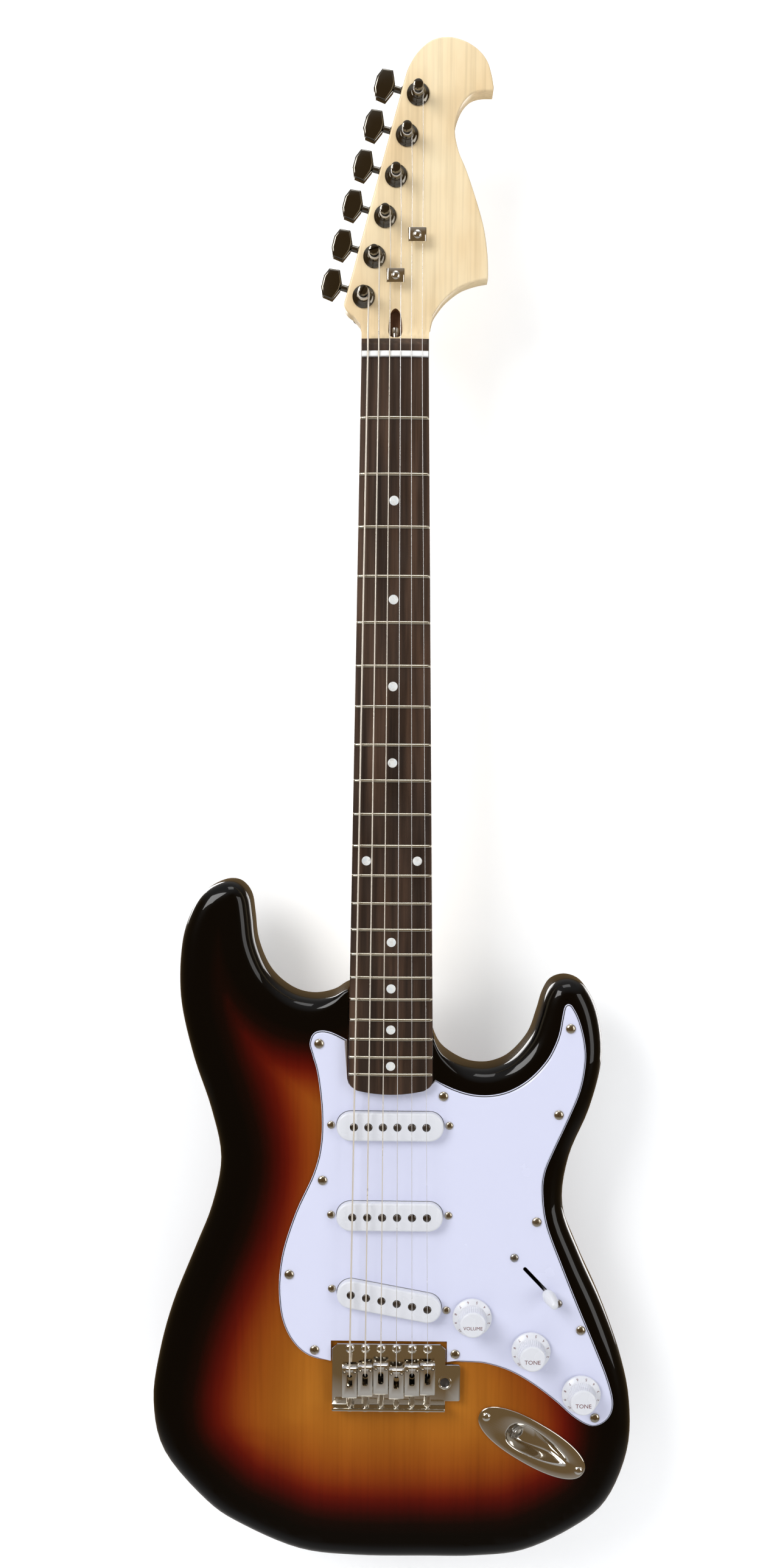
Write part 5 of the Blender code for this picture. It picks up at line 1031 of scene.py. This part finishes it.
def lettering(text, size, place):
    """A word or number as a thin raised print, laid at a place whose +Z is the way that it faces."""
    curve = bpy.data.curves.new("legend", "FONT")
    curve.body, curve.size, curve.extrude = text, size, 0.04
    curve.align_x, curve.align_y = "CENTER", "CENTER"
    curve.resolution_u = 3
    holder = bpy.data.objects.new("legend", curve)
    scene.collection.objects.link(holder)
    bpy.context.view_layer.update()
    mesh = bpy.data.meshes.new_from_object(holder.evaluated_get(bpy.context.evaluated_depsgraph_get()))
    bpy.data.objects.remove(holder)
    bm = bmesh.new()
    bm.from_mesh(mesh)
    bmesh.ops.remove_doubles(bm, verts=bm.verts, dist=1e-4)
    bm.transform(place)
    return painted(bm, 1)


def groove(v):
    """How far in a point on a knob's cone is pinched: every other one is."""
    return RIB_PINCH if round(math.atan2(v.co.y, v.co.x) / math.pi * KNOB_RIBS) % 2 else 1.0


CONTROL_BODIES = {"volume": "volume_control", "tone_upper": "tone_control_upper", "tone_lower": "tone_control_lower"}
for label, x, h, word in POTS:
    spot = Vector((x, GUARD_TOP - 0.7, zb(h)))
    at = Matrix.Translation(spot) @ Matrix.Rotation(math.radians(90), 4, "X")
    skirt = turned([(8.2, 5.2), (8.2, 0.4), (8.5, 0.0), (12.9, 0.0), (13.2, 0.3), (13.2, 1.9), (13.0, 2.3), (12.6, 2.6),
                    (10.6, 3.8), (10.0, 4.15), (9.6, 4.3), (8.0, 4.4), (0, 4.4)], spot, FRONT, 64)
    cone = bmesh.new()
    bmesh.ops.create_circle(cone, segments=2 * KNOB_RIBS, radius=CONE_RADIUS, cap_ends=True)
    for v in cone.verts:
        v.co *= groove(v)
    low_face = list(cone.faces)
    for rise, width in ((4.9, 0.985), (13.6, 0.925), (14.6, 0.905), (15.25, 0.87), (15.6, 0.80)):
        grown = bmesh.ops.extrude_face_region(cone, geom=low_face)["geom"]
        low_face = [g for g in grown if isinstance(g, bmesh.types.BMFace)]
        smooth = 0.0 if rise < CONE_SMOOTH_FROM else 0.7
        reach = CONE_RADIUS * width
        for v in [g for g in grown if isinstance(g, bmesh.types.BMVert)]:
            outward = reach * smooth + reach * groove(v) * (1 - smooth)
            v.co = Vector((v.co.x, v.co.y, 0)).normalized() * outward + Vector((0, 0, rise - CONE_FOOT))
    bmesh.ops.translate(cone, verts=cone.verts, vec=(0, 0, CONE_FOOT))
    bmesh.ops.recalc_face_normals(cone, faces=cone.faces)
    cone.transform(at)
    prints = []
    slope = math.atan2(1.2, 2.0)
    for n in range(1, 11):
        a = math.radians((n - 5.5) * 30)
        turn = Matrix.Rotation(a, 4, "Z")
        lay = turn @ Matrix.Translation((0, 11.62, 3.24)) @ Matrix.Rotation(-slope, 4, "X")
        prints.append(lettering(str(n), 2.5, at @ lay @ Matrix.Rotation(math.pi, 4, "Z")))
    prints.append(lettering(word, 3.3 if len(word) > 4 else 4.0, at @ Matrix.Translation((0, -2.2, 15.62))))
    stem = bar(2.9, (x, 10.0, zb(h)), (x, spot.y - 9.0, zb(h)), 24)
    fitted(label + "_knob_ribbed", joined(skirt, cone, stem, *prints), [PLASTIC_WHITE, PRINT], CONTROL_BODIES[label],
           [label + "_knob"], 24)
    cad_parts[label + "_pot"].material_slots[0].material = STEEL

# ---------------------------------------------------------------- selector
# A lever switch: a steel frame screwed up under the pickguard, a thin blade through its slot, and a moulded tip.
throw = math.radians(22.7)
slot_dir = Vector((math.cos(math.radians(SWITCH_ANGLE)), 0, math.sin(math.radians(SWITCH_ANGLE))))
lever_dir = Vector((0, -1, 0)) * math.cos(throw) + slot_dir * math.sin(throw)
lever_side = Vector((0, 1, 0)) * math.sin(throw) + slot_dir * math.cos(throw)
lever_flat = lever_dir.cross(lever_side).normalized()
pivot = Vector((SWITCH_CENTRE[0], 20.0, zb(SWITCH_CENTRE[1])))
lever_frame = Matrix.Translation(pivot) @ Matrix((lever_side, lever_flat, lever_dir)).transposed().to_4x4()
frame_plate = carved("frame", slab(stadium(SWITCH_CENTRE, SWITCH_ANGLE, 50.0, 11.0, 4, 2.0), 0.1, 1.5),
                     slab(stadium(SWITCH_CENTRE, SWITCH_ANGLE, 24.0, 3.4, 3, 1.2), -2, 4))
works = [on_plan(SWITCH_CENTRE, SWITCH_ANGLE, a, b) for a, b in ((-16, 2.0), (16, 2.0), (16, 7.6), (-16, 7.6))]
works = slab(works, 1.4, 26.0)
rounded(works, 0.5, 2)
mounts = []
for side in (-1, 1):
    x, z = on_plan(SWITCH_CENTRE, SWITCH_ANGLE, side * SWITCH_REACH, 0)
    mounts.append(cross_screw((x, GUARD_TOP, z), FRONT, 2.9, side))
    mounts.append(bar(1.3, (x, GUARD_TOP, z), (x, 4.0, z), 12))
fitted("switch_works", joined(frame_plate, works, *mounts), STEEL, "guitar", ["switch_frame"], 40)
blade = block(-2.0, 2.0, -0.6, 0.6, -3.0, 32.0)
rounded(blade, 0.3, 2)
blade.transform(lever_frame)
fitted("switch_blade", blade, STEEL, "selector", ["switch_lever"], 40)
tip_line = smooth_line([(27.6, 3.3, 2.7), (28.4, 4.3, 3.5), (30.2, 4.95, 4.05), (33.0, 5.2, 4.3), (36.0, 4.7, 4.0),
                        (39.0, 3.6, 3.25), (41.4, 2.8, 2.7), (42.6, 2.2, 2.15), (43.1, 1.5, 1.5), (43.3, 0.7, 0.7)], 3)
tip = pulled([[(a * math.cos(math.pi * k / 14), b * math.sin(math.pi * k / 14), rise) for k in range(28)]
              for rise, a, b in tip_line])
tip = carved("tip", tip, block(-2.3, 2.3, -0.9, 0.9, 25.0, 32.4))
tip.transform(lever_frame)
fitted("switch_cap", tip, PLASTIC_WHITE, "selector", ["switch_tip"], 50)

# ---------------------------------------------------------------- jack plate and socket
# A chromed pressed-steel boat, screwed on at a slant: a flat rim round a deep cup with a steep end wall.
# The output socket is bolted square through that wall.
JACK_TOP = -1.5


def boat_ring(shift, along_half, left, right, y, power=0.85, count=64):
    """Rounded ring in the plate's own directions, tapering from one width to another."""
    ring = []
    for k in range(count):
        t = 2 * math.pi * k / count
        c, s = math.cos(t), math.sin(t)
        half = left + (right - left) * (c + 1) / 2
        x, z = on_plan(JACK_CENTRE, JACK_ANGLE, shift + along_half * math.copysign(abs(c) ** power, c),
                       half * math.copysign(abs(s) ** power, s))
        ring.append((x, y, z))
    return ring


def on_jack(along, y):
    x, z = on_plan(JACK_CENTRE, JACK_ANGLE, along, 0)
    return Vector((x, y, z))


rings = [boat_ring(-0.5, 41.5, 15.0, 15.0, -0.3, 0.88), boat_ring(-0.5, 41.5, 15.0, 15.0, -0.8, 0.88),
         boat_ring(-0.5, 41.35, 14.85, 14.85, -1.15, 0.88), boat_ring(-0.5, 41.0, 14.5, 14.5, -1.4, 0.88),
         boat_ring(-0.5, 40.4, 14.0, 14.0, JACK_TOP, 0.88), boat_ring(4.5, 25.3, 13.1, 5.7, JACK_TOP),
         boat_ring(4.5, 24.7, 12.6, 5.2, JACK_TOP + 0.12), boat_ring(4.3, 24.1, 12.1, 4.8, JACK_TOP + 0.5)]
for k in range(1, 13):
    t = k / 12
    ease = 0.5 - 0.5 * math.cos(math.pi * min(t * 1.02, 1.0))
    wide = 1 - t ** 2.2
    rings.append(boat_ring(4.1 - 6.6 * t, 5.2 + 18.4 * wide * (1 - 0.12 * t), 7.0 + 4.7 * wide,
                           4.0 + 0.4 * wide, -0.8 + 11.3 * (0.35 * t + 0.65 * ease)))
boat = pulled(rings)
ends = [f for f in boat.faces if len(f.verts) > 20]
rear_end = max(ends, key=lambda f: -abs(f.calc_center_median().y + 0.3))
bmesh.ops.delete(boat, geom=[rear_end], context="FACES_ONLY")
wall_top, wall_low = on_jack(-19.6, JACK_TOP + 0.7), on_jack(-7.7, 10.5)
wall_dir = (wall_low - wall_top).normalized()
across = Vector((-math.sin(math.radians(JACK_ANGLE)), 0, math.cos(math.radians(JACK_ANGLE))))
jack_axis = wall_dir.cross(across).normalized()
jack_axis = -jack_axis if jack_axis.y > 0 else jack_axis
wall_mid = wall_top.lerp(wall_low, 0.52)
bmesh.ops.solidify(boat, geom=boat.faces, thickness=0.9)
boat = carved("boat", boat, bar(4.9, wall_mid + jack_axis * 6, wall_mid - jack_axis * 6, 32))
rim_screws = [cross_screw(on_jack(along, JACK_TOP), FRONT, 2.9, along) for along in (-37.0, 36.9)]
fitted("jack_boat", joined(boat, *rim_screws), CHROME, "guitar", ["jack_plate"], 45)
sleeve = turned([(3.25, 3.5), (3.5, 3.7), (4.1, 3.7), (4.3, 3.4), (4.3, -4.6), (6.4, -4.6), (6.4, -19.0), (3.25, -19.0),
                 (3.25, 3.5)], wall_mid, jack_axis, 36)
nut = bmesh.new()
bmesh.ops.create_circle(nut, segments=6, radius=5.9, cap_ends=True)
grown = bmesh.ops.extrude_face_region(nut, geom=list(nut.faces))["geom"]
bmesh.ops.translate(nut, verts=[g for g in grown if isinstance(g, bmesh.types.BMVert)], vec=(0, 0, 2.0))
bmesh.ops.recalc_face_normals(nut, faces=nut.faces)
rounded(nut, 0.35, 2)
nut.transform(towards(wall_mid + jack_axis * 0.9, jack_axis))
nut = carved("nut", nut, bar(4.25, wall_mid - jack_axis * 5, wall_mid + jack_axis * 6, 32))
fitted("jack_socket", joined(sleeve, nut), STEEL, "guitar", ["output_jack"], 40)

# ---------------------------------------------------------------- bridge plate and block
# A chromed steel plate that rocks on six screws, its tail bent up to take the intonation screws.
# The cast block sits under it and the strings pass up through it; the three countersunk screws that hold it are not
# drawn.
PLATE_TOP, PLATE_BACK = -5.2, -3.2
SCREW_LINE = PLATE_TOP - 3.6
ARM = Vector((38.0, 0, zb(-20.2)))
HOLE_LINE = zb(-15.5)
corner = 3.4
plan = [(-38.3, -36.1), (38.3, -36.1), (38.3, -33.3), (48.5, -33.3), (48.5, -8.0), (38.3, -8.0), (38.3, 6.4 - corner),
        (38.3 - corner, 6.4), (-38.3 + corner, 6.4), (-38.3, 6.4 - corner)]
plate = slab([(x, zb(h)) for x, h in plan], PLATE_TOP, PLATE_BACK)
rounded(plate, 1.6, 3, lambda m: abs(abs(m.x) - 48.5) < 0.1 and abs(m.y + 4.2) < 0.1)
rounded(plate, 0.35, 2, lambda m: m.y < PLATE_TOP + 0.05)
lip = block(-38.3, 38.3, PLATE_TOP - 7.2, PLATE_BACK, zb(-38.0), zb(-36.1))
rounded(lip, 1.0, 3, lambda m: abs(abs(m.x) - 38.3) < 0.1 and m.y < PLATE_TOP - 6)
rounded(lip, 0.4, 2, lambda m: m.y < PLATE_TOP - 6)
plate_holes = []
for k in range(6):
    x = string_x(k)
    plate_holes.append(bar(2.1, (x, -12, zb(3.7)), (x, 2, zb(3.7)), 20))
    plate_holes.append(bar(1.8, (x, -12, HOLE_LINE), (x, 2, HOLE_LINE), 20))
arm_bore = bar(3.2, (ARM.x, -12, ARM.z), (ARM.x, -1, ARM.z), 36)
lip_holes = joined(*[bar(1.35, (string_x(k), SCREW_LINE, zb(-42)), (string_x(k), SCREW_LINE, zb(-34)), 16)
                     for k in range(6)])
plate = carved("plate", plate, joined(*plate_holes, arm_bore))
lip = carved("lip", lip, lip_holes)
arm_ring = turned([(3.2, 0.0), (4.6, 0.0), (4.6, 0.35), (4.2, 0.55), (3.5, 0.55), (3.2, 0.3), (3.2, 0.0)],
                  (ARM.x, PLATE_TOP + 0.02, ARM.z), FRONT, 36)
fitted("bridge_plate_bent", joined(plate, lip, arm_ring), CHROME, "tremolo", ["bridge_plate"], 32)
pivots = [cross_screw((string_x(k), -6.2, zb(3.7)), FRONT, 3.1, k * 0.9) for k in range(6)]
pivots += [bar(1.6, (string_x(k), -6.2, zb(3.7)), (string_x(k), 6.0, zb(3.7)), 12) for k in range(6)]
fitted("pivot_screws", joined(*pivots), CHROME, "guitar", (), 40)
CAST = finish_of("cast_block", (116, 116, 120), 0.36, 0.55, 1.0, 0.25)[0]
casting = block(-34.5, 34.5, -2.9, 34.1, zb(-21.5), zb(-9.5))
rounded(casting, 0.9, 3)
boss = block(ARM.x - 5.6, ARM.x + 5.0, -2.9, 24.0, ARM.z - 5.6, ARM.z + 5.6)
rounded(boss, 1.2, 3, lambda m: m.x > ARM.x + 4 or m.y > 23)
string_bores = [bar(1.8, (string_x(k), -6, HOLE_LINE), (string_x(k), 40, HOLE_LINE), 16) for k in range(6)]
counterbores = [bar(3.1, (string_x(k), 24.0, HOLE_LINE), (string_x(k), 40, HOLE_LINE), 20) for k in range(6)]
casting = carved("casting", casting, joined(*string_bores), joined(*counterbores))
boss = carved("boss", boss, bar(3.2, (ARM.x, -12, ARM.z), (ARM.x, 22, ARM.z), 32),
              block(30, 34.6, -6, 40, ARM.z - 9, ARM.z + 9))
fitted("tremolo_block_cast", joined(casting, boss), CAST, "tremolo", ["tremolo_block"], 35)

# ---------------------------------------------------------------- saddles
# Six saddles bent from steel strip, each with a slot for its string, standing on two hex grub screws.
# A long screw through the tail, with a coil spring round it, sets where each one sits.
SETBACKS = (8.2, 6.8, 5.4, 8.6, 6.5, 5.7)
GRUB_REACH, STRIP = 3.45, 1.5


def coil(radius, wire, start, length, turns, steps=14, sides=6):
    """A round wire wound into a coil spring from a start point towards +Z."""
    bm = bmesh.new()
    bmesh.ops.create_circle(bm, segments=sides, radius=wire, cap_ends=True,
                            matrix=Matrix.Translation((radius, 0, 0)) @ Matrix.Rotation(math.pi / 2, 4, "X"))
    bmesh.ops.spin(bm, geom=bm.verts[:] + bm.edges[:] + bm.faces[:], cent=(0, 0, 0), axis=(0, 0, 1),
                   dvec=(0, 0, length / (steps * turns)), angle=2 * math.pi * turns, steps=steps * turns,
                   use_merge=False)
    bmesh.ops.recalc_face_normals(bm, faces=bm.faces)
    bm.transform(Matrix.Translation(start))
    return bm


def crest(k):
    """Depth of a saddle's crest; the six follow the fingerboard's camber."""
    return PLATE_TOP - 8.6 + camber(string_x(k))


for k in range(6):
    x, front, top = string_x(k), -SETBACKS[k], crest(k)
    rear, foot, w, half = front - 21.3, PLATE_TOP - 0.7, STRIP, STRING_PITCH / 2 - 0.22
    strip = [(front + 1.4, top + 4.6), (front + 1.35, top + 2.2), (front + 1.0, top + 0.9), (front + 0.3, top + 0.1),
             (front - 0.7, top - 0.05), (front - 2.4, top + 0.3), (rear + 1.2, SCREW_LINE - 2.6),
             (rear + 0.3, SCREW_LINE - 2.0), (rear, SCREW_LINE - 1.0), (rear, foot), (rear + w, foot),
             (rear + w, SCREW_LINE - 0.8), (front - 2.4, top + 0.3 + w), (front - 0.6, top + w),
             (front - 0.2, top + w + 0.9), (front - 0.1, top + 4.6)]
    bent = drawn_out([(x - half, y, zb(h)) for h, y in strip], (2 * half, 0, 0))
    rounded(bent, 0.4, 2, lambda m, x=x: abs(abs(m.x - x) - half) < 0.05)
    window = slab(stadium((x, front - 8.8), 90, 9.2, 3.7, 5, 1.5), top - 3, PLATE_TOP - 1.6)
    grub_holes = joined(*[bar(1.35, (x + side * GRUB_REACH, top - 4, zb(front - 2.0)),
                              (x + side * GRUB_REACH, PLATE_TOP - 1, zb(front - 2.0)), 16) for side in (-1, 1)])
    bent = carved("saddle", bent, window, grub_holes)
    tall = PLATE_TOP - top
    grub_side = [(0, 0), (1.0, 0), (1.25, 0.4), (1.25, tall - 0.9), (1.1, tall - 0.55), (0.75, tall - 0.5),
                 (0.65, tall - 1.6), (0, tall - 1.7)]
    grubs = [turned(grub_side, (x + side * GRUB_REACH, PLATE_TOP - 0.1, zb(front - 2.0)), FRONT, 12)
             for side in (-1, 1)]
    behind = zb(-38.0) - 0.3
    long_screw = bar(1.05, (x, SCREW_LINE, behind), (x, SCREW_LINE, zb(rear) + 4.0), 14)
    long_head = cross_screw((x, SCREW_LINE, behind), (0, 0, -1), 2.4, k)
    gap = zb(rear) - zb(-36.1)
    spring = coil(1.75, 0.32, (x, SCREW_LINE, zb(-36.1) + 0.4), gap - 0.8, max(4, round((gap - 0.8) / 0.95)), 12)
    fitted("saddle_bent_%d" % (k + 1), joined(bent, *grubs, long_screw, long_head, spring), CHROME, "tremolo",
           ["saddle_%d" % (k + 1)], 36)

# ---------------------------------------------------------------- tremolo springs, claw and back plate
# Three long coil springs pull the block towards a claw that two screws hold to the wood, and balance the strings.
# A white plastic cover screws on over them, with a window through which the strings are fed.
CLAW, SPRING_DEPTH, SPRING_TAIL = zb(104), 33.7, zb(-8.9)
SPRING_PLACES, CLAW_SCREWS = (-21, 0, 21), (-11, 11)
claw = block(-28, 28, 29.3, 38.5, CLAW, CLAW + 2.0)
rounded(claw, 1.2, 3, lambda m: abs(abs(m.x) - 28) < 0.1)
claw_holes = [bar(2.1, (x, SPRING_DEPTH, CLAW - 3), (x, SPRING_DEPTH, CLAW + 6), 20) for x in CLAW_SCREWS]
claw = carved("claw", claw, joined(*claw_holes))
hooks = [turned([(0.9, 0), (1.5, 0), (1.5, 3.4), (0.9, 3.4), (0.9, 0)], (x, SPRING_DEPTH, CLAW - 3.2), (0, 0, 1), 12)
         for x in SPRING_PLACES]
claw_screws = [cross_screw((x, SPRING_DEPTH, CLAW - 0.3), (0, 0, -1), 3.4, x) for x in CLAW_SCREWS]
claw_screws += [bar(1.6, (x, SPRING_DEPTH, CLAW - 0.3), (x, SPRING_DEPTH, CLAW + 31), 12) for x in CLAW_SCREWS]
fitted("claw_plate", joined(claw, *hooks, *claw_screws), STEEL, "guitar", ["tremolo_springs"], 40)
for number, x in enumerate(SPRING_PLACES, 1):
    length = CLAW - 2.0 - SPRING_TAIL
    wound = coil(3.2, 0.5, (x, SPRING_DEPTH, SPRING_TAIL), length, 52, 12)
    tails = [bar(0.5, (x + 3.2, SPRING_DEPTH, SPRING_TAIL), (x, SPRING_DEPTH, zb(-11.0)), 8),
             bar(0.5, (x + 3.2, SPRING_DEPTH, CLAW - 2.0), (x, SPRING_DEPTH, CLAW + 1.6), 8)]
    spring = fitted("tremolo_spring_%d" % number, joined(wound, *tails), STEEL, None, (), 60)
    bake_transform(spring)
cover = slab(stadium((0, 39.5), 90, 173, 86, 8, 8.0), DEPTH + 0.3, DEPTH + 2.1)
rounded(cover, 0.45, 3, lambda m: m.y > DEPTH + 2)
cover = carved("cover", cover, slab(stadium((0, -17.5), 0, 66, 12, 8, 4.0), DEPTH - 2, DEPTH + 6))
cover_screws = [cross_screw((side * 39, DEPTH + 2.1, zb(39.5 + share * 80.5)), REAR, 2.9, side + share * 2)
                for side in (-1, 1) for share in (-1, 0, 1)]
cover_screws = [painted(screw, 1) for screw in cover_screws]
fitted("back_cover", joined(cover, *cover_screws), [GUARD_WHITE, SCREW_STEEL], "guitar", ["back_plate"],
       40)

# ---------------------------------------------------------------- strings
# Six nickel-steel strings: three wound and three plain, each held by its ball end in the block.
# They run up through the plate, over the saddles and nut and under the string trees, and wind round their posts.
STRING_METAL = finish_of("string_nickel", (238, 236, 234), 0.20, 0.34, 0.55, 0.0)[0]
WOUND_METAL, tree, shader, here = finish_of("string_wound", (236, 228, 214), 0.26, 0.42, 0.55, 0.0)
wraps = tree.nodes.new("ShaderNodeTexWave")
wraps.bands_direction = "Z"
wraps.inputs["Scale"].default_value = 700.0
relief = tree.nodes.new("ShaderNodeBump")
relief.inputs["Strength"].default_value = 0.5
relief.inputs["Distance"].default_value = 0.0001
tree.links.new(here, wraps.inputs["Vector"])
tree.links.new(wraps.outputs["Fac"], relief.inputs["Height"])
tree.links.new(relief.outputs["Normal"], shader.inputs["Normal"])


WINDS, TURN_STEPS, WIND_REACH = 3, 20, 2.75


def drawn_wire(path, radius, sides=8):
    """Pulls a round end along a path, keeping it square to the way that it goes."""
    rings = []
    around = [2 * math.pi * j / sides for j in range(sides)]
    side = Vector((1, 0, 0))
    for i, point in enumerate(path):
        ahead = (path[min(i + 1, len(path) - 1)] - path[max(i - 1, 0)]).normalized()
        side = (side - ahead * side.dot(ahead)).normalized()
        other = ahead.cross(side)
        rings.append([tuple(point + (side * math.cos(a) + other * math.sin(a)) * radius) for a in around])
    return pulled(rings)


for k in range(6):
    r, x = STRING_RADII[k], string_x(k)
    z_crest = zb(-SETBACKS[k])
    ball = turned([(0.8, -1.6), (1.9, -1.6), (2.0, -1.3), (1.5, -0.6), (1.5, 0.6), (2.0, 1.3), (1.9, 1.6), (0.8, 1.6),
                   (0.8, -1.6)], (x, 26.0, HOLE_LINE), (1, 0, 0), 16)
    lead = [Vector(p) for p in smooth_line([(x, 26.0, HOLE_LINE), (x, 10.0, HOLE_LINE), (x, PLATE_TOP - 0.6, HOLE_LINE),
                                            (x, crest(k) + 0.4, z_crest - 4.2),
                                            (x, crest(k) - r - 0.05, z_crest - 0.9)], 6)]
    nut_front, nut_back, wind = at_nut(k, 0.2), at_nut(k, 0.9), at_post(k)
    crown = Vector((x, crest(k) - r - 0.1, z_crest - 0.2))
    span = [crown.lerp(nut_front, t / 60) for t in range(61)]
    tail = [nut_back]
    if k > 1:
        z = LOW_TREE if k < 4 else HIGH_TREE
        t = (z - nut_back.z) / (wind.z - nut_back.z)
        under = Vector((nut_back.x + (wind.x - nut_back.x) * t, -6.5 + r, z))
        tail += [nut_back.lerp(under, 0.5), under + Vector((0, 0, -2)), under, under + Vector((0, 0, 2)),
                 under.lerp(wind, 0.5)]
    centre = post_place(k)
    for step in range(WINDS * TURN_STEPS + 1):
        a = 2 * math.pi * step / TURN_STEPS
        tail.append(Vector((centre.x + (WIND_REACH + r) * math.cos(a), wind.y + step / TURN_STEPS * (2 * r + 0.1),
                            centre.z + (WIND_REACH + r) * math.sin(a))))
    wire = drawn_wire(lead + span + tail, r)
    string = fitted("string_drawn_%d" % (k + 1), joined(wire, ball), WOUND_METAL if k < 3 else STRING_METAL, None,
                    ["string_%d" % (k + 1)], 70)
    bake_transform(string)
